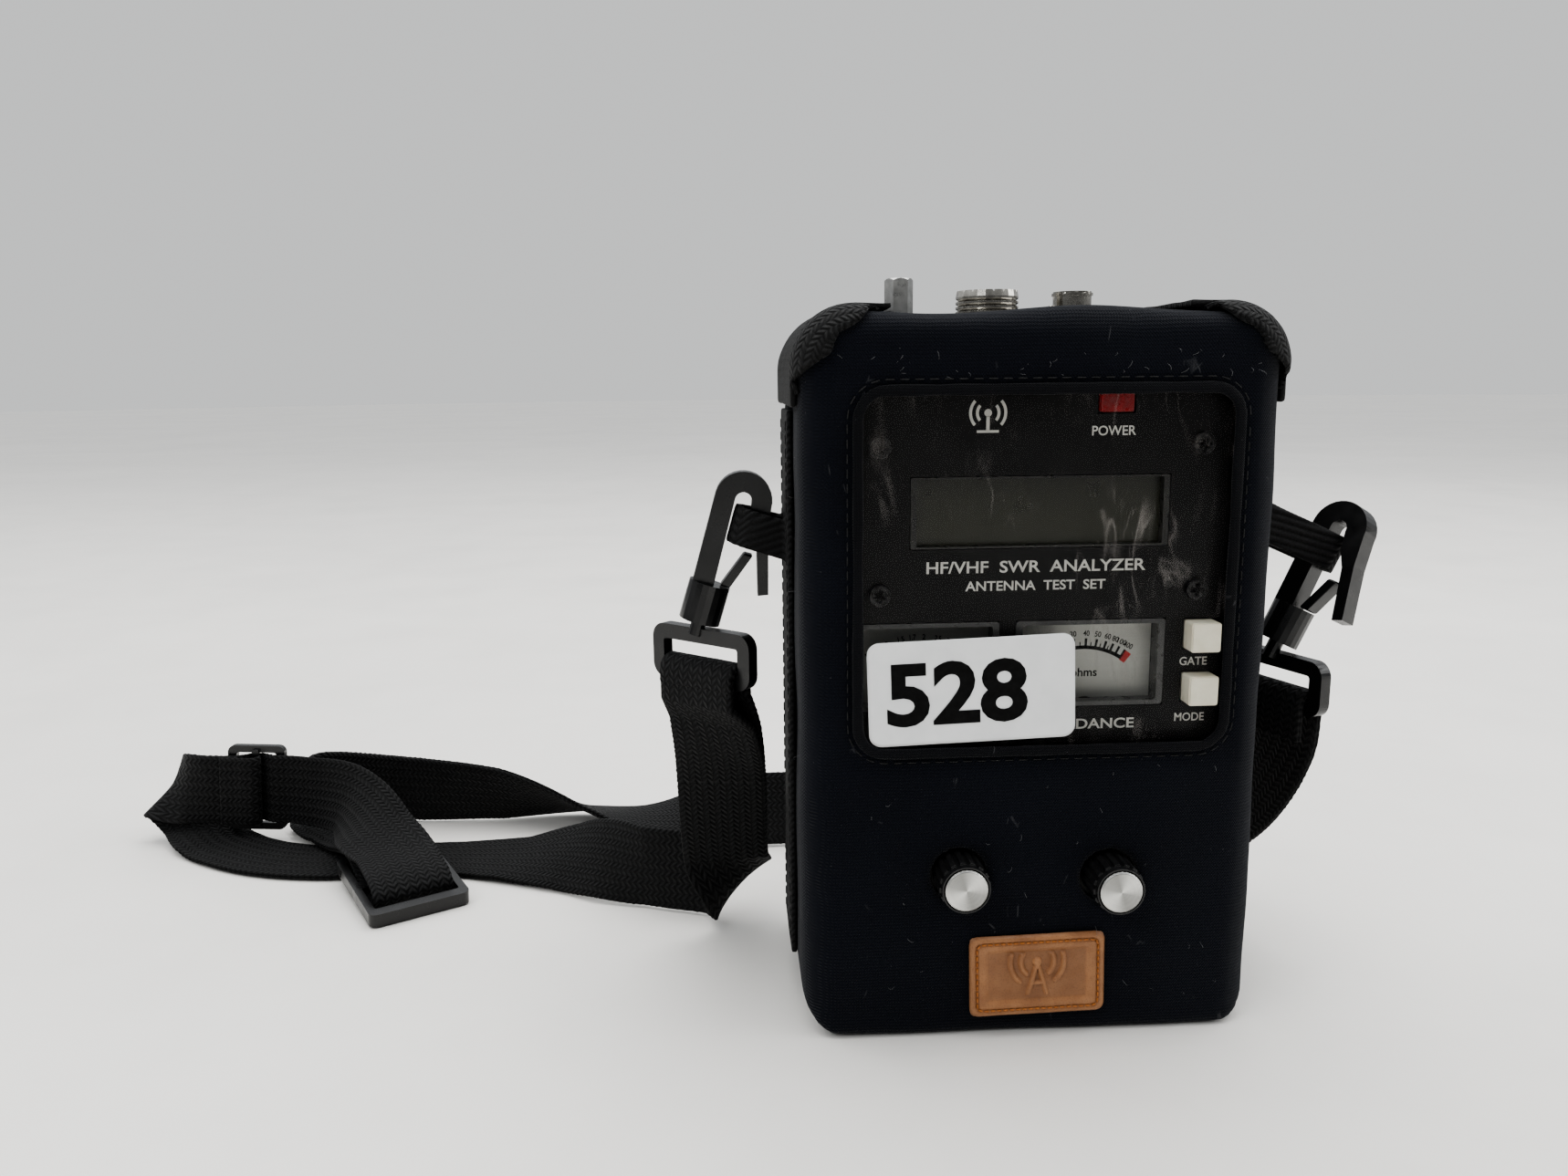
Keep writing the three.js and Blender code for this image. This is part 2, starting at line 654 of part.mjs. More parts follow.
function powerJack() {
  const low = caseTop - sheetThickness - gap;
  const body = block(powerJackX - 4.5, powerJackX + 4.5, -6.5, 6.5, low - 10, low);
  const barrel = barZ(3.5, low - 0.5, caseTop + 0.2, powerJackX, 0, 20);
  return join([body, barrel]).subtract(barZ(2.6, low - 8, caseTop + 1, powerJackX, 0, 16));
}

addPart('power_jack', powerJack(), 'component');

// ---- Pouch ----
const windowX = 0.7;
const openingInset = bindingBand / 2;
const knobHoleRadius = knobDiameter / 2 + 0.9;

function pouchShell() {
  const half = pouchWidth / 2;
  const face = roundedBox(-half, half, 0, pouchHeight, pouchBottomRadius, pouchTopRadius);
  const plan = centredBox(0, 0, pouchWidth, pouchDepth, pouchPlanRadius);
  const side = roundedBox(pouchFront, pouchBack, 0, pouchHeight, 3, pouchEdgeRadius);
  const outside = prismY(face, pouchFront, pouchBack, 7)
    .intersect(prismZ(plan, 0, pouchHeight, 5))
    .intersect(prismX(side, -half, half, 5));
  const innerHalf = half - pouchSideWall;
  const innerY = pouchBack - pouchWall;
  const cavity = block(-innerHalf, innerHalf, -innerY, innerY, pouchWall, pouchHeight - pouchWall);
  const width = windowWidth - 2 * openingInset;
  const height = windowHeight - 2 * openingInset;
  const opening = centredBox(windowX, windowCentreZ, width, height, windowRadius - openingInset);
  const holes = [
    prismY(opening, pouchFront - 1, pouchFront + pouchWall + 1),
    barZ(socketDiameter / 2 + 0.8, pouchHeight - 6, pouchHeight + 1, socketX, 0, 28),
    barZ(bncDiameter / 2 + 1.6, pouchHeight - 6, pouchHeight + 1, bncX, 0, 24),
    barZ(groundPostAcrossFlats / 2 + 1.2, pouchHeight - 6, pouchHeight + 1, groundPostX, 0, 20),
  ];
  for (const [x, z] of knobPlaces) {
    holes.push(barY(knobHoleRadius, pouchFront - 1, pouchFront + pouchWall + 1, x, z, 28));
  }
  return outside.subtract(cavity).subtract(join(holes));
}

function windowVinyl() {
  const width = windowWidth - 2 * openingInset - 2 * gap;
  const height = windowHeight - 2 * openingInset - 2 * gap;
  const shape = centredBox(windowX, windowCentreZ, width, height, windowRadius - openingInset - gap);
  const cut = buttonSize + 2 * movingGap + 0.4;
  return prismY(shape, vinylFront, vinylFront + vinylThickness)
    .subtract(squareBar(buttonX, gateButtonZ, cut, vinylFront - 1, vinylFront + 2))
    .subtract(squareBar(buttonX, modeButtonZ, cut, vinylFront - 1, vinylFront + 2));
}

function windowBinding() {
  const shape = centredBox(windowX, windowCentreZ, windowWidth, windowHeight, windowRadius);
  const innerWidth = windowWidth - 2 * bindingBand;
  const innerHeight = windowHeight - 2 * bindingBand;
  shape.holes.push(centredBox(windowX, windowCentreZ, innerWidth, innerHeight, windowRadius - bindingBand));
  return prismY(shape, pouchFront - bindingProud - 0.05, pouchFront - 0.05, 6);
}

addPart('pouch_shell', pouchShell(), 'neoprene');
addPart('window_vinyl', windowVinyl(), 'vinyl');
addPart('window_binding', windowBinding(), 'binding');

// A band of webbing bent over each top corner, in the pouch's front view.
const cornerBandHalf = 29;
const cornerTail = 9;

function cornerWebbing(side) {
  const inner = pouchTopRadius + gap;
  const outer = inner + webbingThickness;
  const centreX = pouchWidth / 2 - pouchTopRadius;
  const centreZ = pouchHeight - pouchTopRadius;
  const shape = new THREE.Shape();
  shape.moveTo(centreX + inner, centreZ - cornerTail);
  shape.lineTo(centreX + outer, centreZ - cornerTail);
  shape.lineTo(centreX + outer, centreZ);
  shape.absarc(centreX, centreZ, outer, 0, Math.PI / 2);
  shape.lineTo(centreX - cornerTail, centreZ + outer);
  shape.lineTo(centreX - cornerTail, centreZ + inner);
  shape.lineTo(centreX, centreZ + inner);
  shape.absarc(centreX, centreZ, inner, Math.PI / 2, 0, true);
  const band = prismY(shape, -cornerBandHalf, cornerBandHalf, 8);
  return side > 0 ? band : band.mirror([1, 0, 0]);
}

addPart('corner_webbing_left', cornerWebbing(-1), 'webbing');
addPart('corner_webbing_right', cornerWebbing(1), 'webbing');

// ---- Hooks: a turning snap hook, its sprung gate and the ring that holds the strap ----
const hookSides = {
  left: { at: [-pouchWidth / 2 - 24.8, 0, 101.3], tilt: 17, yaw: 0, ringYaw: -41, ringShift: 1 },
  right: { at: [pouchWidth / 2 + 17.8, 0, 92], tilt: 25, yaw: -60, ringYaw: -70, ringShift: 0.3 },
};
const bossRadius = 5.5;
const bossHeight = 10.5;
const archZ = hookLength - hookArchRadius;
const archX = 2.35;
const stemRadius = 2;

function hookBody() {
  const shape = new THREE.Shape();
  shape.moveTo(-4.6, bossHeight - 3);
  shape.lineTo(archX - hookArchRadius, archZ);
  shape.absarc(archX, archZ, hookArchRadius, Math.PI, 0, true);
  shape.lineTo(archX + hookArchRadius + 1.5, archZ - 8);
  shape.lineTo(archX + hookArchRadius + 5.6, archZ - 22);
  shape.lineTo(archX + hookArchRadius + 3, archZ - 23);
  shape.lineTo(archX + hookArchRadius - 1.3, archZ - 9.5);
  shape.lineTo(archX + hookEyeRadius + 1.2, archZ - 5);
  shape.lineTo(archX + hookEyeRadius, archZ);
  shape.absarc(archX, archZ, hookEyeRadius, 0, Math.PI);
  shape.lineTo(1.1, bossHeight - 3);
  const frame = prismY(shape, -hookThickness / 2, hookThickness / 2, 8);
  const boss = barZ(bossRadius, 0, bossHeight, 0, 0, 20);
  const bore = barZ(stemRadius + gap, -1, 4, 0, 0, 16);
  const chamber = barZ(stemRadius + 1.3, 3.6, 8, 0, 0, 16);
  return join([frame, boss]).subtract(bore).subtract(chamber);
}

function hookGate() {
  const low = bossHeight + gap;
  const high = archZ - 13.2;
  const shape = new THREE.Shape();
  shape.moveTo(2.6, low);
  shape.lineTo(5.2, low);
  shape.lineTo(archX + hookArchRadius - 1.1, high);
  shape.lineTo(archX + hookArchRadius - 3.5, high);
  return prismY(shape, -2.4, 2.4);
}

// The ring hangs plumb from the tilted stem, turned about Z to the strap's own direction.
function strapRing(place) {
  const tilt = THREE.MathUtils.degToRad(place.tilt);
  const drop = bossRadius * Math.sin(tilt) + movingGap;
  const outer = centredBox(0, -ringHeight / 2, ringWidth, ringHeight, 4);
  outer.holes.push(centredBox(0, -ringHeight / 2, ringWidth - 2 * ringBar, ringHeight - 2 * ringBar, 0.8));
  const ring = prism(outer, ringThickness, 4);
  ring.rotateX(Math.PI / 2);
  ring.translate(0, ringThickness / 2, 0);
  ring.rotateZ(THREE.MathUtils.degToRad(place.ringYaw));
  ring.translate(place.ringShift, 0, -drop);
  const stem = barZ(stemRadius, -drop - 2, 6.8, 0, 0, 14);
  const head = barZ(stemRadius + 0.9, 4.4, 6.8, 0, 0, 14);
  const pin = stem.add(head).rotate([0, place.tilt, 0]);
  return toSolid(ring).add(pin);
}

for (const [side, place] of Object.entries(hookSides)) {
  const hook = new THREE.Group();
  hook.position.set(...place.at);
  hook.rotation.set(0, THREE.MathUtils.degToRad(place.tilt), THREE.MathUtils.degToRad(place.yaw));
  analyser.add(hook);
  addPart(`${side}_hook`, hookBody(), 'acetal', hook);
  addPart(`${side}_hook_gate`, hookGate(), 'acetal', hook);
  addPart(`${side}_strap_ring`, strapRing(place), 'acetal').position.set(...place.at);
}

// ---- Side webbing: a flat strip up each side, with the loop that a hook snaps round ----
const loopWall = 1.5;
const loopHeight = 10;

// Where each loop's middle lies in its hook's own X, Y and Z, and the loop's inner radius.
const loopedBar = {
  left: { middle: [7.9, 0, 27.5], radius: 5.6 },
  right: { middle: [-2.3, 0, 27.5], radius: 4.8 },
};

function sideWebbing(side) {
  const sign = side === 'left' ? -1 : 1;
  const place = hookSides[side];
  const face = pouchWidth / 2 + gap;
  const outer = face + webbingThickness;
  const bottom = pouchBottomRadius + 1;
  const top = pouchHeight - pouchTopRadius - cornerTail - 1;
  const x0 = sign < 0 ? -outer : face;
  const strip = block(x0, x0 + webbingThickness, -webbingWidth / 2, webbingWidth / 2, bottom, top);
  const tilt = THREE.MathUtils.degToRad(place.tilt);
  const turn = new THREE.Euler(0, tilt, THREE.MathUtils.degToRad(place.yaw));
  const centre = new THREE.Vector3(...loopedBar[side].middle).applyEuler(turn).add(new THREE.Vector3(...place.at));
  const root = (Math.abs(centre.x) - face) / Math.cos(tilt) - 0.2;
  const loopRadius = loopedBar[side].radius;
  const outerRadius = loopRadius + loopWall;
  const ring = new THREE.Shape();
  ring.absarc(0, 0, outerRadius, -Math.PI / 2, Math.PI / 2);
  ring.lineTo(-root, outerRadius);
  ring.lineTo(-root, -outerRadius);
  const hole = new THREE.Path();
  hole.absarc(0, 0, loopRadius, -Math.PI / 2, Math.PI / 2);
  hole.lineTo(-root + 2.5, loopRadius);
  hole.lineTo(-root + 2.5, -loopRadius);
  ring.holes.push(hole);
  const geometry = prism(ring, loopHeight, 8);
  geometry.translate(0, 0, -loopHeight / 2);
  if (sign < 0) {
    geometry.rotateZ(Math.PI);
  }
  geometry.rotateY(tilt);
  geometry.translate(centre.x, centre.y, centre.z);
  const pouchSide = block(-face, face, -40, 40, 0, pouchHeight);
  return strip.add(toSolid(geometry).subtract(pouchSide));
}

addPart('side_webbing_left', sideWebbing('left'), 'webbing');
addPart('side_webbing_right', sideWebbing('right'), 'webbing');

// ---- Leather patch and paper label on the front ----
const patch = addPart('leather_patch', prismY(centredBox(0, 0, 33.9, 21.2, 2), -0.7, 0.7), 'leather');
patch.position.set(1, pouchFront - 0.9, 16.6);
patch.rotation.y = THREE.MathUtils.degToRad(-1.3);

const label = addPart('lot_label', prismY(centredBox(0, 0, 50, 25.6, 3), -0.15, 0.15), 'label');
label.position.set(-16.6, vinylFront - 0.5, windowCentreZ - 27.8);
label.rotation.y = THREE.MathUtils.degToRad(-1.9);

// ---- Pocket and flap on the back ----
const pocketHalf = 40;
const pocketBottom = 22;
const pocketTop = 122;
const pocketDepth = 11;
const pocketWall = 2;
const pocketFront = pouchBack + 0.3;

function backPocket() {
  const outside = prismY(roundedBox(-pocketHalf, pocketHalf, pocketBottom, pocketTop, 8, 2), pocketFront, pocketFront + pocketDepth, 5);
  const inner = roundedBox(
    -pocketHalf + pocketWall, pocketHalf - pocketWall, pocketBottom + pocketWall, pocketTop + 5, 6, 2,
  );
  return outside.subtract(prismY(inner, pocketFront + pocketWall, pocketFront + pocketDepth - pocketWall, 5));
}

const flapWall = 1.8;
const flapHingeZ = pocketTop + 9;

function pocketFlap() {
  const back = pocketFront + pocketDepth + gap + 0.2;
  const shape = new THREE.Shape();
  shape.moveTo(pocketFront + 0.4, flapHingeZ + 0.4);
  shape.lineTo(pocketFront + 0.4, flapHingeZ - 1.4);
  shape.lineTo(back, pocketTop + 0.6);
  shape.lineTo(back, pocketTop - 28);
  shape.lineTo(back + flapWall, pocketTop - 28);
  shape.lineTo(back + flapWall, pocketTop + 1.6);
  shape.lineTo(pocketFront + 1.8, flapHingeZ + 0.4);
  const sheet = prismX(shape, -pocketHalf - 1, pocketHalf + 1);
  const outline = roundedBox(-pocketHalf - 1, pocketHalf + 1, pocketTop - 28, flapHingeZ + 1, 9, 0.2);
  return sheet.intersect(prismY(outline, pocketFront - 5, pocketFront + 30, 5));
}

addPart('back_pocket', backPocket(), 'neoprene');
addPart('pocket_flap', pocketFlap(), 'neoprene');

// ---- Shoulder strap: flat webbing from ring to ring. Each row is a point on its middle line, then the
// direction of its upper edge. It leaves the left ring, folds at the floor, runs to the far end, comes
// back through both sliders, passes behind the pouch and rises to the right ring. ----
const strapRoute = [
  [-83.2, -2.6, 77.3, 0.755, -0.656, 0],
  [-83.2, -2.6, 83.3, 0.755, -0.656, 0],
  [-83.2, -2.5, 87.1, 0.755, -0.656, 0],
  [-82.6, -1.8, 89.3, 0.755, -0.656, 0],
  [-81.0, 0.0, 90.3, 0.755, -0.656, 0],
  [-79.4, 1.8, 89.3, 0.755, -0.656, 0],
  [-78.8, 2.5, 87.1, 0.755, -0.656, 0],
  [-78.6, 2.8, 82.3, 0.755, -0.656, 0],
  [-77.8, 5.0, 71.0, 0.93, -0.36, 0],
  [-77.2, 11.0, 56.0, 0.99, -0.12, 0],
  [-76.8, 19.0, 38.0, 1, 0, 0.05],
  [-76.5, 25.8, 23.5, 1, 0.05, 0.1],
  [-76.8, 29.6, 18.0, 0.82, 0.45, 0.36],
  [-78.8, 34.9, 14.8, 0.38, 0.52, 0.77],
  [-83.5, 38.4, 13.6, 0, 0.12, 0.99],
  [-102.0, 45.5, 13.3, 0, 0.1, 0.99],
  [-116.0, 55.0, 12.3, 0, 0.62, 0.78],
  [-130.0, 67.0, 8.5, 0, 0.9, 0.43],
  [-149.0, 77.0, 4.0, 0.1, 0.99, 0.12],
  [-171.0, 84.5, 1.45, 0.05, 1, 0],
  [-192.0, 84.5, 1.4, 0, 1, 0],
  [-212.0, 84.0, 1.4, 0.15, 0.98, 0],
  [-233.0, 88.5, 1.4, 0.35, 0.93, 0],
  [-249.0, 96.5, 1.5, 0.42, 0.9, 0],
  [-261.0, 105.5, 2.6, 0.5, 0.86, 0.06],
  [-269.5, 115.0, 9.0, 0.52, 0.6, 0.6],
  [-274.5, 117.3, 15.0, 0.5, 0.3, 0.82],
  [-275.5, 114.8, 18.4, 0.48, 0.15, 0.87],
  [-271.5, 111.2, 19.9, 0.38, 0.08, 0.92],
  [-264.5, 109.2, 20.2, 0.15, 0.03, 0.98],
  [-257.5, 108.9, 20.0, 0.05, 0.03, 1],
  [-253.0, 109.0, 19.9, 0.05, 0.03, 1],
  [-250.3, 110.4, 19.8, 0.05, 0.03, 1],
  [-247.8, 111.8, 19.8, 0.05, 0.03, 1],
  [-244.2, 111.8, 19.8, 0.05, 0.03, 1],
  [-241.7, 110.4, 19.8, 0.05, 0.03, 1],
  [-239.0, 109.0, 19.8, 0.05, 0.03, 1],
  [-234.5, 108.6, 19.7, 0.05, 0.03, 1],
  [-224.0, 105.5, 19.4, 0.05, 0.08, 0.99],
  [-212.0, 98.5, 19.6, 0.2, 0.25, 0.94],
  [-203.0, 88.0, 18.5, 0.5, 0.45, 0.74],
  [-194.5, 76.0, 15.6, 0.8, 0.5, 0.28],
  [-185.8, 66.3, 12.6, 0.857, 0.515, 0.06],
  [-179.7, 56.1, 10.5, 0.857, 0.515, 0],
  [-176.6, 51.1, 8.6, 0.857, 0.515, 0],
  [-175.1, 48.6, 5.8, 0.857, 0.515, 0],
  [-175.7, 49.6, 3.2, 0.857, 0.515, 0],
  [-177.7, 52.8, 2.7, 0.857, 0.515, 0],
  [-182.0, 60.1, 3.4, 0.857, 0.515, 0],
  [-184.8, 64.8, 4.1, 0.857, 0.515, 0],
  [-187.4, 69.1, 6.8, 0.857, 0.515, 0],
  [-190.0, 73.4, 9.2, 0.857, 0.515, 0],
  [-192.9, 78.2, 9.6, 0.857, 0.515, 0],
  [-197.5, 86.0, 7.4, 0.857, 0.515, 0],
  [-205.5, 97.0, 4.6, 0.8, 0.6, 0],
  [-215.0, 106.0, 5.0, 0.72, 0.69, 0],
  [-225.0, 115.5, 9.6, 0.5, 0.6, 0.5],
  [-231.5, 122.0, 13.2, 0.15, 0.3, 0.94],
  [-229.5, 128.0, 13.8, -0.05, 0.1, 0.99],
  [-222.0, 129.5, 13.8, 0, 0, 1],
  [-208.0, 126.5, 13.6, 0, 0, 1],
  [-190.0, 122.5, 13.4, 0, -0.1, 0.99],
  [-160.0, 118.0, 12.2, 0, -0.42, 0.91],
  [-128.0, 115.0, 7.0, 0, -0.93, 0.35],
  [-107.0, 109.0, 4.5, 0, -1, -0.03],
  [-90.0, 102.0, 7.3, 0, -0.93, -0.36],
  [-65.0, 94.0, 12.4, 0, -0.35, -0.93],
  [-45.0, 92.0, 13.3, 0, -0.1, -0.99],
  [-10.0, 92.0, 13.4, 0, 0, -1],
  [26.0, 89.0, 13.5, 0, 0, -1],
  [50.0, 79.0, 14.5, 0, 0, -1],
  [66.0, 61.0, 18.0, 0.1, -0.35, -0.93],
  [74.0, 40.0, 26.0, 0.15, -0.6, -0.78],
  [77.0, 22.0, 39.0, 0.2, -0.75, -0.63],
  [78.6, 9.5, 54.0, 0.28, -0.88, -0.4],
  [79.0, 3.6, 65.5, 0.34, -0.93, -0.15],
  [78.6, 1.6, 72.0, 0.342, -0.94, 0],
  [78.4, 1.1, 77.1, 0.342, -0.94, 0],
  [77.6, 0.8, 79.3, 0.342, -0.94, 0],
  [75.3, 0.0, 80.3, 0.342, -0.94, 0],
  [73.0, -0.8, 79.3, 0.342, -0.94, 0],
  [72.2, -1.1, 77.1, 0.342, -0.94, 0],
  [72.1, -1.2, 73.3, 0.342, -0.94, 0],
  [72.1, -1.2, 67.3, 0.342, -0.94, 0],
];

class RibbonPath extends THREE.Curve {
  constructor(route) {
    super();
    const middle = route.map(([x, y, z]) => new THREE.Vector3(x, y, z));
    this.middle = new THREE.CatmullRomCurve3(middle, false, 'centripetal');
    this.edges = route.map((row) => new THREE.Vector3(row[3], row[4], row[5]).normalize());
  }

  getPoint(t, target = new THREE.Vector3()) {
    return target.copy(this.middle.getPoint(t));
  }

  getPointAt(t, target) {
    return this.getPoint(t, target);
  }

  edgeAt(t) {
    const place = t * (this.edges.length - 1);
    const index = Math.min(Math.floor(place), this.edges.length - 2);
    return this.edges[index].clone().lerp(this.edges[index + 1], place - index);
  }

  computeFrenetFrames(segments) {
    const tangents = [];
    const normals = [];
    const binormals = [];
    for (let step = 0; step <= segments; step += 1) {
      const t = step / segments;
      const tangent = this.middle.getTangent(t).normalize();
      const edge = this.edgeAt(t);
      edge.addScaledVector(tangent, -edge.dot(tangent)).normalize();
      tangents.push(tangent);
      normals.push(edge);
      binormals.push(new THREE.Vector3().crossVectors(tangent, edge));
    }
    return { tangents, normals, binormals };
  }
}

function ribbon(route, steps) {
  const half = webbingWidth / 2;
  const thick = strapThickness / 2;
  const shape = new THREE.Shape();
  shape.moveTo(-half, -thick * 0.5);
  shape.lineTo(-half + thick, -thick);
  shape.lineTo(half - thick, -thick);
  shape.lineTo(half, -thick * 0.5);
  shape.lineTo(half, thick * 0.5);
  shape.lineTo(half - thick, thick);
  shape.lineTo(-half + thick, thick);
  shape.lineTo(-half, thick * 0.5);
  return toSolid(new THREE.ExtrudeGeometry(shape, { steps, extrudePath: new RibbonPath(route) }));
}

addPart('shoulder_strap', ribbon(strapRoute, 2 * (strapRoute.length - 1)), 'webbing');

// ---- Sliders on the strap: a frame with a lower bar across its middle ----
const sliderSide = 2.5;

function slider(length, rail, thickness, barHalf, barLow) {
  const shape = centredBox(0, 0, sliderWidth, length, 2.5);
  shape.holes.push(centredBox(0, 0, sliderWidth - 2 * sliderSide, length - 2 * rail, 1));
  const half = sliderWidth / 2 - sliderSide / 2;
  return prismZ(shape, 0, thickness, 3).add(block(-half, half, -barHalf, barHalf, barLow, barLow + 1.4));
}

// Turns a piece so that its X runs across the strap and its Y along it.
function layAlong(piece, at, across, along) {
  const x = new THREE.Vector3(...across).normalize();
  const z = x.clone().cross(new THREE.Vector3(...along)).normalize();
  const y = z.clone().cross(x);
  piece.position.set(...at);
  piece.quaternion.setFromRotationMatrix(new THREE.Matrix4().makeBasis(x, y, z));
}

const floorSlider = addPart('floor_slider', slider(floorSliderLength, 4, 4.2, 2.4, 2.8), 'acetal');
layAlong(floorSlider, [-182.1, 60.2, 2.15], [0.857, 0.515, 0], [-0.515, 0.857, 0.087]);

const standingSlider = addPart('standing_slider', slider(standingSliderLength, 3, 2.6, 1.2, 2.4), 'acetal');
layAlong(standingSlider, [-246, 113, 19.8], [0.05, 0.03, 1], [-1, 0, 0.05]);

export default analyser;
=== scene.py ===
"""Looks for the carried antenna analyser: a handheld meter in a neoprene pouch with a shoulder strap."""

import math
import random

import bpy
import bmesh
import numpy as np
from mathutils import Matrix, Vector, noise


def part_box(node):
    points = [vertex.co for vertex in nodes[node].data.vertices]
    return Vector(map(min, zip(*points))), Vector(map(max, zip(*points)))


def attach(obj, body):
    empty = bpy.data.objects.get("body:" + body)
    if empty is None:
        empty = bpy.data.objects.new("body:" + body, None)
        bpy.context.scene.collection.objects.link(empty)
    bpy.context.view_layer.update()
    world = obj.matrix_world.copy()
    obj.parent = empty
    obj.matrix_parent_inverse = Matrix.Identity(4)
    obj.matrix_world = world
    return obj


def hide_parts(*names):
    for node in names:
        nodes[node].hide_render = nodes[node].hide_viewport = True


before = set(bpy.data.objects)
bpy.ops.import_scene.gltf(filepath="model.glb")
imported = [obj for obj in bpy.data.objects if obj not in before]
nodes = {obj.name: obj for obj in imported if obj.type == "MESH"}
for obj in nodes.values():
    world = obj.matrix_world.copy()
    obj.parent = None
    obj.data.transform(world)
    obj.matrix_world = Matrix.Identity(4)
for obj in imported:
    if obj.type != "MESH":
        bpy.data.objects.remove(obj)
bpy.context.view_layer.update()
CASE = "pouched_case"
MM = 0.001
rng = random.Random(7)

# ---- camera

CAMERA_AT = (-0.075, -0.3041, 0.1643)
CAMERA_PITCH = math.radians(10.20)
CAMERA_YAW = math.radians(2.93)
CAMERA_ROLL = math.radians(-0.64)
LENS_MM, SENSOR_MM = 26.85, 36


def link(name, data):
    obj = bpy.data.objects.new(name, data)
    bpy.context.scene.collection.objects.link(obj)
    return obj


def mesh_piece(name, verts, faces):
    """A smooth-shaded object made from a list of points and a list of faces."""
    mesh = bpy.data.meshes.new(name)
    mesh.from_pydata([tuple(v) for v in verts], [], faces)
    mesh.shade_smooth()
    return link(name, mesh)


def add_camera():
    data = bpy.data.cameras.new("camera")
    data.lens = LENS_MM
    data.sensor_width = SENSOR_MM
    data.clip_start = 0.01
    obj = link("camera", data)
    level = math.cos(CAMERA_PITCH)
    ahead = Vector((math.sin(CAMERA_YAW) * level, math.cos(CAMERA_YAW) * level, -math.sin(CAMERA_PITCH)))
    right = Vector((math.cos(CAMERA_YAW), -math.sin(CAMERA_YAW), 0))
    up = right.cross(ahead)
    c, s = math.cos(CAMERA_ROLL), math.sin(CAMERA_ROLL)
    right, up = c * right + s * up, c * up - s * right
    turn = Matrix((right, up, -ahead)).transposed().to_4x4()
    obj.matrix_world = Matrix.Translation(CAMERA_AT) @ turn
    bpy.context.scene.camera = obj


add_camera()

# ---- materials

TURN = 6.283  # a full turn, in radians


class Look:
    """A node material, built by short calls. Sizes of textures are in metres of the object."""

    def __init__(self, name, color, rough, metal=0.0, **values):
        self.mat = bpy.data.materials.new(name)
        self.mat.use_nodes = True
        self.tree = self.mat.node_tree
        self.shader = self.tree.nodes["Principled BSDF"]
        self.set("Base Color", (*color, 1))
        self.set("Roughness", rough)
        self.set("Metallic", metal)
        for key, value in values.items():
            self.set(key.replace("_", " "), value)
        self.height = None
        self.place = None

    def set(self, socket, value):
        self.shader.inputs[socket].default_value = value

    def join(self, source, socket):
        self.tree.links.new(source, socket)

    def node(self, kind, ins=None, **settings):
        made = self.tree.nodes.new("ShaderNode" + kind)
        for key, value in settings.items():
            setattr(made, key, value)
        for key, value in (ins or {}).items():
            socket = made.inputs[key]
            if isinstance(value, bpy.types.NodeSocket):
                self.join(value, socket)
            else:
                socket.default_value = value
        return made

    def coords(self):
        if self.place is None:
            self.place = self.node("TexCoord").outputs["Object"]
        return self.place

    def axes(self):
        return self.node("SeparateXYZ", {0: self.coords()}).outputs

    def math(self, what, a, b=0.0):
        return self.node("Math", {0: a, 1: b, 2: 0.0}, operation=what).outputs[0]

    def times(self, a, b):
        return self.math("MULTIPLY", a, b)

    def plus(self, a, b):
        return self.math("ADD", a, b)

    def stretched(self, scale, turn=(0, 0, 0)):
        spot = {"Vector": self.coords(), "Scale": scale, "Rotation": turn}
        return self.node("Mapping", spot).outputs[0]

    def noise(self, size, detail=3.0, vector=None, twist=0.0):
        spot = {"Vector": vector or self.coords(), "Scale": 1 / size, "Detail": detail}
        spot.update({"Roughness": 0.55, "Distortion": twist})
        return self.node("TexNoise", spot).outputs["Fac"]

    def cells(self, size, feature="F1", vector=None):
        spot = {"Vector": vector or self.coords(), "Scale": 1 / size}
        return self.node("TexVoronoi", spot, feature=feature).outputs["Distance"]

    def ramp(self, value, low, high, a=0.0, b=1.0):
        spot = {"Value": value, "From Min": low, "From Max": high, "To Min": a, "To Max": b}
        return self.node("MapRange", spot).outputs["Result"]

    def mix(self, factor, a, b):
        made = self.node("Mix", data_type="RGBA")
        for socket, value in ((0, factor), (6, a), (7, b)):
            if isinstance(value, bpy.types.NodeSocket):
                self.join(value, made.inputs[socket])
            else:
                made.inputs[socket].default_value = value if socket == 0 else (*value, 1)
        return made.outputs[2]

    def color(self, source):
        self.join(source, self.shader.inputs["Base Color"])
        return self

    def uneven(self, size, detail, a, b):
        """Roughness that wanders between a and b."""
        return self.rough(self.ramp(self.noise(size, detail), 0.3, 0.7, a, b))

    def rough(self, source):
        self.join(source, self.shader.inputs["Roughness"])
        return self

    def bump(self, source, depth, strength=1.0):
        spot = {"Height": source, "Distance": depth, "Strength": strength}
        made = self.node("Bump", spot)
        if self.height is not None:
            self.join(self.height, made.inputs["Normal"])
        self.height = made.outputs[0]
        self.join(self.height, self.shader.inputs["Normal"])
        return self


def worn(name, base, edge, rough, metal=0.0, size=0.006, grain=0.0004, depth=0.00002, **values):
    """A moulded or painted surface: blotchy colour and gloss, with a fine grain in the bump."""
    look = Look(name, base, rough, metal, **values)
    blotch = look.noise(size, 4)
    look.color(look.mix(look.ramp(blotch, 0.3, 0.7), base, edge))
    look.uneven(size * 0.6, 5, rough * 0.75, min(1, rough * 1.3))
    if depth:
        look.bump(look.noise(grain, 2), depth)
    return look


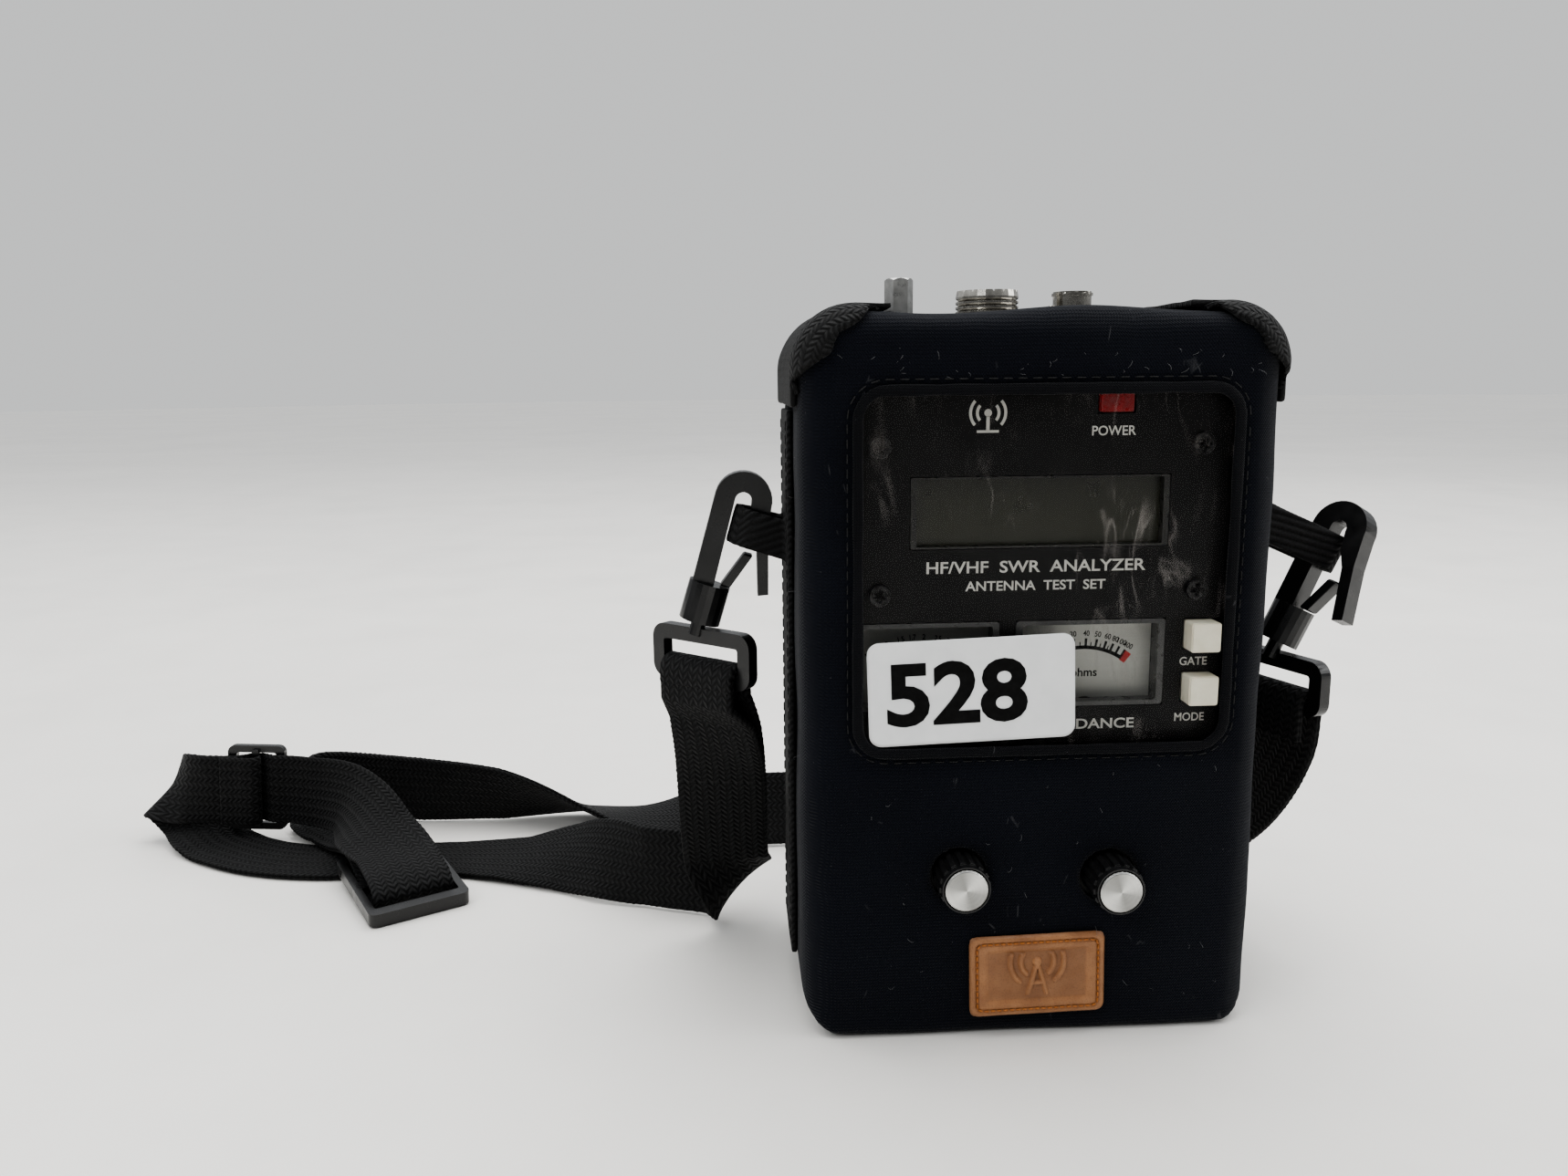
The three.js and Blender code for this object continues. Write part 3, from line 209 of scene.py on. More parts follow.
def knit(name, base, light, rib=0.00085, wale=0.0007, lint=0.5, sheen=0.07):
    """Stretch knit over foam: rows of loops, a soft sheen and pale lint caught in it."""
    look = Look(name, base, 0.92, Sheen_Weight=sheen, Sheen_Roughness=0.5)
    look.set("Specular IOR Level", 0.12)
    x, y, z = look.axes()
    wander = look.times(look.noise(0.012, 2), 0.0012)
    around = look.plus(look.plus(x, y), wander)
    across = look.math("SINE", look.times(around, TURN / wale))
    along = look.math("SINE", look.times(look.plus(z, wander), TURN / rib))
    loops = look.plus(look.times(across, along), look.times(along, 0.6))
    loops = look.plus(loops, look.noise(0.0011, 3))
    patch = look.ramp(look.noise(0.03, 4), 0.3, 0.75)
    tone = look.times(look.ramp(loops, -1.2, 2.2), look.ramp(patch, 0, 1, 0.45, 1.0))
    body = look.mix(tone, base, light)
    threads = look.cells(0.0042, "DISTANCE_TO_EDGE", look.stretched((1, 1, 0.35), (0.4, 0.7, 0.2)))
    here = look.ramp(look.noise(0.009, 2), 0.66, 0.72)
    dust = look.ramp(look.noise(0.0009, 2), 0.74, 0.8)
    fuzz = look.math("MAXIMUM", look.times(look.ramp(threads, 0.035, 0.0), here), dust)
    look.color(look.mix(look.times(fuzz, lint), body, (0.1, 0.1, 0.105)))
    look.bump(loops, 0.00009, 0.8)
    look.bump(look.noise(0.006, 3), 0.0004, 0.35)
    return look


def woven(name, base=(0.0012, 0.0012, 0.0013), light=(0.013, 0.013, 0.0135), pick=0.0019, warp=0.0017):
    """Webbing: staggered picks over warps, laid out by the piece's own UV, which is in metres."""
    look = Look(name, base, 0.75, Sheen_Weight=0.03, Sheen_Roughness=0.4)
    look.set("Specular IOR Level", 0.22)
    uv = look.node("UVMap").outputs[0]
    part = look.node("SeparateXYZ", {0: uv}).outputs
    turns = look.times(part[0], 3.1416 / warp)
    zig = look.times(look.math("PINGPONG", part[0], warp), 0.9)
    row = look.times(look.plus(part[1], zig), TURN / pick)
    picks = look.math("SINE", row)
    warps = look.math("ABSOLUTE", look.math("SINE", turns))
    cloth = look.times(look.ramp(picks, -1, 1), look.ramp(warps, 0, 1, 0.35, 1))
    fibre = look.noise(0.0005, 2)
    lit = look.times(cloth, look.ramp(look.noise(0.012, 3), 0.3, 0.7, 0.55, 1.1))
    body = look.mix(lit, base, light)
    dust = look.ramp(look.noise(0.0008, 2), 0.73, 0.8)
    look.color(look.mix(look.times(dust, 0.35), body, (0.08, 0.08, 0.08)))
    look.rough(look.ramp(fibre, 0.3, 0.7, 0.62, 0.85))
    look.bump(look.plus(cloth, look.times(fibre, 0.25)), 0.0005)
    return look


NEOPRENE = knit("neoprene_knit", (0.0014, 0.0019, 0.0042), (0.0052, 0.0068, 0.0125))
BINDING = knit("binding_knit", (0.0016, 0.0018, 0.0026), (0.0085, 0.009, 0.0115), 0.0006, 0.0006, 0.8)
WEBBING = woven("webbing_weave")
THREAD = worn("black_thread", (0.002, 0.002, 0.0022), (0.01, 0.01, 0.0105), 0.7, size=0.0008)
ACETAL = worn("black_acetal", (0.0022, 0.0022, 0.0024), (0.006, 0.006, 0.0064), 0.3, size=0.01, depth=0.00001)
BAKED = worn("black_paint", (0.0022, 0.0021, 0.0022), (0.0055, 0.0052, 0.0052), 0.4, size=0.02, depth=0)
BAKED.set("Specular IOR Level", 0.2)
PAINT = worn("grey_paint", (0.012, 0.012, 0.013), (0.03, 0.03, 0.032), 0.45, size=0.015)
KNOB = worn("knob_plastic", (0.005, 0.005, 0.0053), (0.013, 0.013, 0.0135), 0.36, size=0.004, depth=0.000005)
CREAM = worn("cream_plastic", (0.72, 0.68, 0.56), (0.62, 0.57, 0.45), 0.42, size=0.005)
CREAM.set("Subsurface Weight", 0.05)
RED = worn("red_plastic", (0.26, 0.003, 0.003), (0.12, 0.002, 0.002), 0.3, size=0.004)
NICKEL = worn("nickel_plate", (0.6, 0.58, 0.53), (0.3, 0.285, 0.26), 0.16, 1.0, size=0.003, depth=0.000004)
ZINC = worn("zinc_hex", (0.5, 0.5, 0.49), (0.34, 0.34, 0.33), 0.32, 1.0, size=0.003, depth=0.000006)
STEEL = worn("screw_steel", (0.014, 0.014, 0.014), (0.05, 0.05, 0.05), 0.3, 1.0, size=0.002)
BRASS = worn("contact_brass", (0.7, 0.55, 0.28), (0.5, 0.38, 0.18), 0.3, 1.0, size=0.002)
PTFE = worn("insulator", (0.42, 0.41, 0.37), (0.3, 0.29, 0.26), 0.5, size=0.002)
BOARD = worn("board_green", (0.02, 0.12, 0.05), (0.03, 0.18, 0.07), 0.45, size=0.004)
CELL = worn("battery_wrap", (0.05, 0.05, 0.055), (0.12, 0.11, 0.1), 0.4, size=0.008)
SHELL = worn("meter_shell", (0.024, 0.025, 0.024), (0.05, 0.05, 0.048), 0.3, size=0.006, depth=0.000004)
BEZEL = worn("display_bezel", (0.004, 0.004, 0.0036), (0.012, 0.012, 0.01), 0.3, size=0.004, depth=0.000003)
INK_WHITE = worn("ink_white", (0.5, 0.49, 0.45), (0.38, 0.375, 0.34), 0.5, size=0.002)
INK_BLACK = worn("ink_black", (0.002, 0.002, 0.002), (0.006, 0.006, 0.006), 0.5, size=0.002)
INK_BLACK.set("Specular IOR Level", 0.1)
INK_RED = worn("ink_red", (0.6, 0.015, 0.012), (0.45, 0.01, 0.01), 0.5, size=0.002)
NEEDLE = worn("needle_black", (0.015, 0.015, 0.015), (0.03, 0.03, 0.03), 0.45, size=0.002)


def dial_look():
    look = Look("dial_silver", (0.4, 0.4, 0.37), 0.42, 0.25)
    brushed = look.noise(0.0006, 3, look.stretched((0.05, 1, 1)))
    # painted light: the dial is coloured lighter towards its top
    shade = look.ramp(look.axes()[2], 0.0775, 0.105, 0.0, 1.0)
    tone = look.plus(look.times(brushed, 0.3), look.times(shade, 0.55))
    look.color(look.mix(tone, (0.36, 0.36, 0.325), (0.66, 0.66, 0.61)))
    return look.bump(brushed, 0.00001)


def glass_look():
    look = Look("lcd_olive", (0.012, 0.013, 0.008), 0.3)
    x, y, z = look.axes()
    fade = look.ramp(look.plus(z, look.times(look.noise(0.03, 3), 0.012)), 0.125, 0.15)
    look.color(look.mix(fade, (0.016, 0.0165, 0.0068), (0.007, 0.0075, 0.0035)))
    look.uneven(0.01, 3, 0.25, 0.4)
    return look


def vinyl_look():
    """Clear sheet: near invisible where it lies flat, with painted reflections as pale streaks along its long
    creases.
    """
    look = Look("clear_vinyl", (0.1, 0.1, 0.1), 0.1, IOR=1.5)
    slanted = look.stretched((1.0, 1.0, 0.28), (0, 0.62, 0))
    swirl = look.noise(0.011, 2, slanted, twist=0.7)
    crease = look.math("ABSOLUTE", look.math("SUBTRACT", swirl, 0.5))
    fine = look.math("ABSOLUTE", look.math("SUBTRACT", look.noise(0.006, 3, slanted, twist=1.6), 0.5))
    where = look.ramp(look.noise(0.024, 2), 0.48, 0.66)
    line = look.times(look.ramp(crease, 0.03, 0.0), where)
    hair = look.times(look.ramp(fine, 0.014, 0.0), look.times(where, 0.7))
    # painted reflection: pale streaks along the creases, in colour and in alpha
    painted_reflection = look.math("MAXIMUM", line, hair)
    look.color(look.mix(painted_reflection, (0.012, 0.011, 0.011), (0.34, 0.31, 0.29)))
    look.join(look.ramp(painted_reflection, 0, 1, 0.07, 0.32), look.shader.inputs["Alpha"])
    look.uneven(0.02, 3, 0.06, 0.14)
    look.bump(swirl, 0.0007, 0.5)
    look.bump(look.noise(0.007, 3, twist=1.0), 0.0002, 0.35)
    return look


SUNK_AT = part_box("leather_patch")[0].y + 0.0004


def leather_look():
    look = Look("tan_leather", (0.3, 0.14, 0.06), 0.5)
    blotch = look.noise(0.006, 5)
    pores = look.cells(0.00045, "F1")
    body = look.mix(look.ramp(blotch, 0.35, 0.7), (0.36, 0.17, 0.072), (0.25, 0.108, 0.042))
    sunk = look.ramp(look.axes()[1], SUNK_AT - 0.00025, SUNK_AT + 0.0001, 0.0, 0.45)
    body = look.mix(sunk, body, (0.14, 0.055, 0.02))
    look.color(look.mix(look.ramp(pores, 0.1, 0.5, 0.3, 0.0), body, (0.09, 0.032, 0.01)))
    look.uneven(0.002, 4, 0.4, 0.62)
    look.bump(pores, 0.00004)
    return look.bump(look.noise(0.002, 4), 0.00012, 0.6)


def paper_look():
    look = Look("label_paper", (0.78, 0.79, 0.79), 0.35, Coat_Weight=0.15)
    look.color(look.mix(look.ramp(look.noise(0.012, 4), 0.3, 0.75), (0.82, 0.83, 0.83), (0.7, 0.71, 0.72)))
    return look.bump(look.noise(0.004, 4), 0.00006)


def cap_look(name, node):
    """Turned aluminium: fine rings, and a painted highlight that fans out from the middle."""
    lo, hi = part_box(node)
    look = Look(name, (0.8, 0.8, 0.79), 0.3, 1.0, Anisotropic=0.85)
    here = look.node("VectorMath", {0: look.coords(), 1: (lo + hi) / 2}, operation="SUBTRACT").outputs[0]
    x, y, z = look.node("SeparateXYZ", {0: here}).outputs
    away = look.math("SQRT", look.plus(look.times(x, x), look.times(z, z)))
    rings = look.math("SINE", look.times(away, TURN / 0.00022))
    turn = look.math("ARCTAN2", x, z)
    painted_fan_highlight = look.math("SINE", look.times(turn, 2.0))
    polar = look.node("CombineXYZ", {0: away, 1: look.times(turn, 0.00002)}).outputs[0]
    scratch = look.noise(0.0002, 2, polar)
    # painted highlight: lighter in two opposite sectors round the middle, with real fine scratches on top
    tone = look.plus(look.ramp(painted_fan_highlight, -0.6, 1, 0.0, 0.75), look.times(scratch, 0.3))
    look.color(look.mix(tone, (0.3, 0.3, 0.29), (0.8, 0.8, 0.77)))
    tangent = look.node("Tangent", direction_type="RADIAL", axis="Y")
    look.join(tangent.outputs[0], look.shader.inputs["Tangent"])
    return look.bump(rings, 0.000012)


DIAL = dial_look()
GLASS = glass_look()
VINYL = vinyl_look()
LEATHER = leather_look()
PAPER = paper_look()
LENS = Look("clear_lens", (0.01, 0.01, 0.01), 0.06, IOR=1.5, Alpha=0.09)
LENS.uneven(0.004, 3, 0.04, 0.12)
LENS.bump(LENS.noise(0.02, 2), 0.0002)


def dress(node, look, bevel=0.0):
    """Gives a carried-over part its material, and rounds its sharp edges by bevel metres."""
    obj = nodes[node]
    if not obj.data.materials:
        obj.data.materials.append(None)
    for slot in obj.material_slots:
        slot.link = "OBJECT"
        slot.material = look.mat
    if bevel:
        weld = obj.modifiers.new("weld", "WELD")
        weld.merge_threshold = 0.00001
        soft = obj.modifiers.new("bevel", "BEVEL")
        soft.width = bevel
        soft.segments = 2
        soft.limit_method = "ANGLE"
        soft.angle_limit = math.radians(40)
        soft.harden_normals = True


# ---- the shoulder strap, the one free cord

# Each row is a point on the strap's middle line, in millimetres, and the direction of its upper edge.
STRAP_ROUTE = [
    (-83.2, -2.6, 77.3, 0.755, -0.656, 0),
    (-83.2, -2.6, 83.3, 0.755, -0.656, 0),
    (-83.2, -2.5, 87.1, 0.755, -0.656, 0),
    (-82.6, -1.8, 89.3, 0.755, -0.656, 0),
    (-81, 0, 90.3, 0.755, -0.656, 0),
    (-79.4, 1.8, 89.3, 0.755, -0.656, 0),
    (-78.8, 2.5, 87.1, 0.755, -0.656, 0),
    (-78.6, 2.8, 82.3, 0.755, -0.656, 0),
    (-77.8, 5, 71, 0.93, -0.36, 0),
    (-77.2, 11, 56, 0.99, -0.12, 0),
    (-76.8, 19, 38, 1, 0, 0.05),
    (-76.5, 25.8, 23.5, 1, 0.05, 0.1),
    (-76.8, 29.6, 18, 0.82, 0.45, 0.36),
    (-78.8, 34.9, 14.8, 0.38, 0.52, 0.77),
    (-83.5, 38.4, 13.6, 0, 0.12, 0.99),
    (-102, 45.5, 13.3, 0, 0.1, 0.99),
    (-116, 55, 12.3, 0, 0.62, 0.78),
    (-130, 67, 8.5, 0, 0.9, 0.43),
    (-149, 77, 4, 0.1, 0.99, 0.12),
    (-171, 84.5, 1.45, 0.05, 1, 0),
    (-192, 84.5, 1.4, 0, 1, 0),
    (-212, 84, 1.4, 0.15, 0.98, 0),
    (-233, 88.5, 1.4, 0.35, 0.93, 0),
    (-249, 96.5, 1.5, 0.42, 0.9, 0),
    (-261, 105.5, 2.6, 0.5, 0.86, 0.06),
    (-269.5, 115, 9, 0.52, 0.6, 0.6),
    (-274.5, 117.3, 15, 0.5, 0.3, 0.82),
    (-275.5, 114.8, 18.4, 0.48, 0.15, 0.87),
    (-271.5, 111.2, 19.9, 0.38, 0.08, 0.92),
    (-264.5, 109.2, 20.2, 0.15, 0.03, 0.98),
    (-257.5, 108.9, 20, 0.05, 0.03, 1),
    (-253, 109, 19.9, 0.05, 0.03, 1),
    (-250.3, 110.4, 19.8, 0.05, 0.03, 1),
    (-247.8, 111.8, 19.8, 0.05, 0.03, 1),
    (-244.2, 111.8, 19.8, 0.05, 0.03, 1),
    (-241.7, 110.4, 19.8, 0.05, 0.03, 1),
    (-239, 109, 19.8, 0.05, 0.03, 1),
    (-234.5, 108.6, 19.7, 0.05, 0.03, 1),
    (-224, 105.5, 19.4, 0.05, 0.08, 0.99),
    (-212, 98.5, 19.6, 0.2, 0.25, 0.94),
    (-203, 88, 18.5, 0.5, 0.45, 0.74),
    (-194.5, 76, 15.6, 0.8, 0.5, 0.28),
    (-185.8, 66.3, 12.6, 0.857, 0.515, 0.06),
    (-179.7, 56.1, 10.5, 0.857, 0.515, 0),
    (-176.6, 51.1, 8.6, 0.857, 0.515, 0),
    (-175.1, 48.6, 5.8, 0.857, 0.515, 0),
    (-175.7, 49.6, 3.2, 0.857, 0.515, 0),
    (-177.7, 52.8, 2.7, 0.857, 0.515, 0),
    (-182, 60.1, 3.4, 0.857, 0.515, 0),
    (-184.8, 64.8, 4.1, 0.857, 0.515, 0),
    (-187.4, 69.1, 6.8, 0.857, 0.515, 0),
    (-190, 73.4, 9.2, 0.857, 0.515, 0),
    (-192.9, 78.2, 9.6, 0.857, 0.515, 0),
    (-197.5, 86, 7.4, 0.857, 0.515, 0),
    (-205.5, 97, 4.6, 0.8, 0.6, 0),
    (-215, 106, 5, 0.72, 0.69, 0),
    (-225, 115.5, 9.6, 0.5, 0.6, 0.5),
    (-231.5, 122, 13.2, 0.15, 0.3, 0.94),
    (-229.5, 128, 13.8, -0.05, 0.1, 0.99),
    (-222, 129.5, 13.8, 0, 0, 1),
    (-208, 126.5, 13.6, 0, 0, 1),
    (-190, 122.5, 13.4, 0, -0.1, 0.99),
    (-160, 118, 12.2, 0, -0.42, 0.91),
    (-128, 115, 7, 0, -0.93, 0.35),
    (-107, 109, 4.5, 0, -1, -0.03),
    (-90, 102, 7.3, 0, -0.93, -0.36),
    (-65, 94, 12.4, 0, -0.35, -0.93),
    (-45, 92, 13.3, 0, -0.1, -0.99),
    (-10, 92, 13.4, 0, 0, -1),
    (26, 89, 13.5, 0, 0, -1),
    (50, 79, 14.5, 0, 0, -1),
    (66, 61, 18, 0.1, -0.35, -0.93),
    (74, 40, 26, 0.15, -0.6, -0.78),
    (77, 22, 39, 0.2, -0.75, -0.63),
    (78.6, 9.5, 54, 0.28, -0.88, -0.4),
    (79, 3.6, 65.5, 0.34, -0.93, -0.15),
    (78.6, 1.6, 72, 0.342, -0.94, 0),
    (78.4, 1.1, 77.1, 0.342, -0.94, 0),
    (77.6, 0.8, 79.3, 0.342, -0.94, 0),
    (75.3, 0, 80.3, 0.342, -0.94, 0),
    (73, -0.8, 79.3, 0.342, -0.94, 0),
    (72.2, -1.1, 77.1, 0.342, -0.94, 0),
    (72.1, -1.2, 73.3, 0.342, -0.94, 0),
    (72.1, -1.2, 67.3, 0.342, -0.94, 0),
]
STRAP_WIDTH = 0.025
PLY_PAIR = 0.00192  # the two layers of webbing together
NIP = 0.00022  # how far the line between the two layers draws in at the selvage
SCALLOP = 0.0019  # pitch of the weft along a selvage
ABOVE_FLOOR = 0.0003
TURNED_UP = 1.0  # rows before this one are the turned-up end, which is the front ply below
SEWN_ROWS = (7.0, 9.3)  # the rows that the front ply is sewn down between
PLIES_APART = (31, 49)  # rows of the two sliders: the webbing is double outside them
# Where the strap is folded: the row, its spread, the extra width there, and how far out the crease lies.
FOLDS = (
    (12.4, 0.9, 0.03, (0.0045, 0.0002, -0.0036)),
    (26.4, 1.1, 0.0, (-0.0046, 0.0022, 0.0)),
)

# ---- lines, strips and the strap itself


def drift(*place):
    """Smooth noise from -1 to 1 at a place."""
    return noise.noise(Vector(place))


def unit(rows):
    return rows / np.linalg.norm(rows, axis=1, keepdims=True)


def smooth_route(rows, steps):
    """Points, edge directions and row places along a centripetal Catmull-Rom curve through the rows."""
    p = np.array([row[:3] for row in rows]) * MM
    e = unit(np.array([row[3:] for row in rows], dtype=float))
    points, edges, places = [], [], []
    for i in range(len(p) - 1):
        a, b = p[i], p[i + 1]
        before = p[i - 1] if i else 2 * a - b
        after = p[i + 2] if i + 2 < len(p) else 2 * b - a
        d0, d1, d2 = (max(float(np.linalg.norm(v)) ** 0.5, 1e-4) for v in (a - before, b - a, after - b))
        t1 = ((a - before) / d0 - (b - before) / (d0 + d1) + (b - a) / d1) * d1
        t2 = ((b - a) / d1 - (after - a) / (d1 + d2) + (after - b) / d2) * d1
        for k in range(steps):
            s = k / steps
            bend = (-3 * a + 3 * b - 2 * t1 - t2) * s * s + (2 * a - 2 * b + t1 + t2) * s**3
            points.append(a + t1 * s + bend)
            edges.append(e[i] * (1 - s) + e[i + 1] * s)
            places.append(i + s)
    points.append(p[-1])
    edges.append(e[-1])
    places.append(len(p) - 1)
    return np.array(points), np.array(edges), np.array(places)


def even_steps(points, values, step):
    """The same line, sampled every step metres."""
    run = np.concatenate([[0], np.cumsum(np.linalg.norm(np.diff(points, axis=0), axis=1))])
    want = np.linspace(0, run[-1], int(run[-1] / step) + 1)
    fit = [np.stack([np.interp(want, run, v[:, k]) for k in range(v.shape[1])], 1) for v in values]
    return want, fit


def grid_mesh(name, rows, uvs, closed):
    """A mesh through rows of points; closed joins each row's ends and caps the tube."""
    count, wide = len(rows), len(rows[0])
    faces, corner_uv = [], []
    for i in range(count - 1):
        for j in range(wide if closed else wide - 1):
            k = (j + 1) % wide
            faces.append((i * wide + j, i * wide + k, (i + 1) * wide + k, (i + 1) * wide + j))
            u0, u1 = uvs[0][j], uvs[0][j + 1]
            corner_uv += [(u0, uvs[1][i]), (u1, uvs[1][i]), (u1, uvs[1][i + 1]), (u0, uvs[1][i + 1])]
    if closed:
        faces += [tuple(range(wide - 1, -1, -1)), tuple((count - 1) * wide + j for j in range(wide))]
        corner_uv += [(0, 0)] * (2 * wide)
    made = mesh_piece(name, [p for row in rows for p in row], faces)
    layer = made.data.uv_layers.new(name="UVMap")
    layer.data.foreach_set("uv", np.array(corner_uv).ravel())
    return made


def strap_outline():
    """The strap's cross-section: place across, side of the pair of plies, and how far round the selvage."""
    outline = []
    for side in (1, -1):
        for f in np.linspace(-1, 1, 15):
            outline.append((f * side * 0.972, side, 0.0))
        selvage = [(0.993, 0.72, 0.3), (1, 0.42, 0.7), (0.984, 0.1, 1.0)]
        outline += [(side * across, side * up, edge) for across, up, edge in selvage]
        outline += [(side * across, -side * up, edge) for across, up, edge in reversed(selvage)]
    return outline


def fray_at(run, depth):
    """The small scallops that the weft leaves along a selvage."""
    return depth * math.sin(run * TURN / SCALLOP)


def build_strap():
    points, edges, places = smooth_route(STRAP_ROUTE, 14)
    run, (points, edges, rows) = even_steps(points, [points, edges, places[:, None]], 0.00065)
    tangent = unit(np.gradient(points, axis=0))
    edges = unit(edges - (edges * tangent).sum(1, keepdims=True) * tangent)
    out = unit(np.cross(tangent, edges))
    place = rows[:, 0]
    half = STRAP_WIDTH / 2
    reach_out = np.full(len(points), half)
    for row, spread, extra, push in FOLDS:
        near = np.exp(-(((place - row) / spread) ** 2))
        reach_out *= 1 + extra * near
        points = points + near[:, None] * np.array(push)
    single = np.clip((place - PLIES_APART[0]) / 2, 0, 1) * np.clip((PLIES_APART[1] - place) / 2, 0, 1)
    single = single * single * (3 - 2 * single)
    keep = place > TURNED_UP
    points, edges, out, reach_out = points[keep], edges[keep], out[keep], reach_out[keep]
    run, place, single = run[keep], place[keep], single[keep]
    outline = strap_outline()
    lines = []
    for i, s in enumerate(run):
        fray = fray_at(s, 0.00016) + 0.00012 * drift(s * 900, 3.1, 0.4)
        sway = 0.00045 * drift(s * 28, 9.7, 2.0)
        thick = PLY_PAIR / 2 * (1 - 0.36 * single[i])
        row = []
        for across, up, edge in outline:
            lift = up * thick + 0.00006 * drift(s * 500, across * 9, up)
            reach = across * reach_out[i]
            if abs(across) > 0.98:
                reach += math.copysign(fray - 0.00005, across)
            nip = NIP * edge * (1 - single[i]) * math.copysign(1, across) if edge >= 1 else 0
            spot = points[i] + edges[i] * (reach - nip + sway * 0.4) + out[i] * lift
            spot[2] = max(spot[2], ABOVE_FLOOR)
            row.append(spot)
        lines.append(row)
    us = [(o[0] + 1) * half for o in outline]
    strap = grid_mesh("strap_webbing", lines, (us + [us[0]], run), True)
    strap.data.materials.append(WEBBING.mat)
    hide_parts("shoulder_strap")
    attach(strap, CASE)
    return points, edges, out, place


strap_points, strap_edges, strap_out, strap_place = build_strap()


def webbing_ply(name, points, edges, thick):
    """One more layer of webbing, laid through points that are each its middle line."""
    points, edges = np.array(points), np.array(edges)
    run, (points, edges, thick) = even_steps(points, [points, edges, np.array(thick)[:, None]], 0.0007)
    out = unit(np.cross(unit(np.gradient(points, axis=0)), edges))
    outline = [(f, 1) for f in np.linspace(-0.97, 0.97, 11)] + [(1, 0.4), (1, -0.4)]
    outline += [(f, -1) for f in np.linspace(0.97, -0.97, 11)] + [(-1, -0.4), (-1, 0.4)]
    half = STRAP_WIDTH / 2
    rows = []
    for i, s in enumerate(run):
        row = []
        for across, up in outline:
            reach = across * half + (fray_at(s, 0.00014) * across if abs(across) == 1 else 0)
            row.append(points[i] + edges[i] * reach + out[i] * up * thick[i, 0])
        rows.append(row)
    us = [(across + 1) * half for across, _ in outline]
    made = grid_mesh(name, rows, (us + [us[0]], run), True)
    made.data.materials.append(WEBBING.mat)
    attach(made, CASE)


def front_ply():
    """The strap's own end, which comes forward over the ring and is sewn down along the strap."""
    start, end = (int(np.searchsorted(strap_place, row)) for row in SEWN_ROWS)
    sign = 1 if strap_out[start][1] < 0 else -1
    points = [Vector([place * MM for place in STRAP_ROUTE[row][:3]]) for row in (2, 1, 0)]
    points[2] += Vector((0, 0, 0.002))
    edges = [Vector(STRAP_ROUTE[0][3:]).normalized()] * 3
    for k in range(start + 12, end, 3):
        f = (k - start) / (end - start)
        lift = 0.0052 * (1 - min(1.0, f * 1.15)) ** 1.3 + 0.0001
        points.append(Vector(strap_points[k]) + Vector(strap_out[k]) * sign * lift)
        edges.append(Vector(strap_edges[k]))
    if edges[3].dot(edges[2]) < 0:
        edges[3:] = [-e for e in edges[3:]]
    webbing_ply("strap_front_ply", [p[:] for p in points], [e[:] for e in edges], [0.0009] * len(points))


front_ply()


def slider_loop():
    """The short ply that is turned round the standing slider's middle bar."""
    line = [(-0.2580, 0.1078), (-0.2525, 0.1073), (-0.2490, 0.1064)]
    line += [(-0.2462, 0.1062), (-0.2447, 0.1072), (-0.2443, 0.1090)]
    points = [(x, y, 0.0198) for x, y in line]
    webbing_ply("slider_loop", points, [(0.05, 0.03, 1)] * len(points), [0.0005] + [0.0006] * 5)


slider_loop()

# ---- helpers for the other pieces


def finish_piece(obj, look, body=CASE):
    obj.data.materials.clear()
    obj.data.materials.append(look.mat)
    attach(obj, body)
    return obj


def baked(obj):
    """Applies the modifiers, so that the piece keeps its shape and no modifier."""
    graph = bpy.context.evaluated_depsgraph_get()
    graph.update()
    mesh = bpy.data.meshes.new_from_object(obj.evaluated_get(graph))
    obj.modifiers.clear()
    obj.data = mesh
    mesh.shade_smooth()
    return obj


def thickened(obj, thickness):
    """Gives an open sheet its thickness, half to each side."""
    thick = obj.modifiers.new("thick", "SOLIDIFY")
    thick.thickness = thickness
    thick.offset = 0
    return baked(obj)


def from_work(name, work):
    """Ends a bmesh and links it as a new object."""
    mesh = bpy.data.meshes.new(name)
    work.to_mesh(mesh)
    work.free()
    return link(name, mesh)


def spun(x, z, turn):
    """A point of the front, turned about the origin."""
    return x * math.cos(turn) - z * math.sin(turn), x * math.sin(turn) + z * math.cos(turn)


def middle_of(node):
    lo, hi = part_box(node)
    return (lo + hi) / 2


def soft_copy(node, name, look, voxel, wobble, reach, rounds, body=CASE, shift=None):
    """A cloth piece in place of a CAD solid: remeshed, eased at its edges and gently uneven."""
    obj = link(name, nodes[node].data.copy())
    remesh = obj.modifiers.new("remesh", "REMESH")
    remesh.mode = "VOXEL"
    remesh.voxel_size = voxel
    ease = obj.modifiers.new("ease", "SMOOTH")
    ease.factor = 0.5
    ease.iterations = rounds
    baked(obj)
    mesh = obj.data
    count = len(mesh.vertices)
    at = np.empty(count * 3)
    face = np.empty(count * 3)
    mesh.vertices.foreach_get("co", at)
    mesh.vertices.foreach_get("normal", face)
    at, face = at.reshape(-1, 3), face.reshape(-1, 3)
    swell = [noise.noise(Vector(p) / reach + Vector((5.1, 1.7, 3.3))) for p in at]
    at = at + face * (np.array(swell) * wobble)[:, None]
    if shift is not None:
        at = shift(at, face)
    mesh.vertices.foreach_set("co", at.ravel())
    mesh.update()
    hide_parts(node)
    return finish_piece(obj, look, body)


def flat_uv(obj, place):
    """Gives every face corner the UV that place(point) says, in metres."""
    mesh = obj.data
    layer = mesh.uv_layers.get("UVMap") or mesh.uv_layers.new(name="UVMap")
    at = np.array([v.co[:] for v in mesh.vertices])
    index = np.empty(len(mesh.loops), dtype=int)
    mesh.loops.foreach_get("vertex_index", index)
    layer.data.foreach_set("uv", place(at)[index].ravel())
    return obj


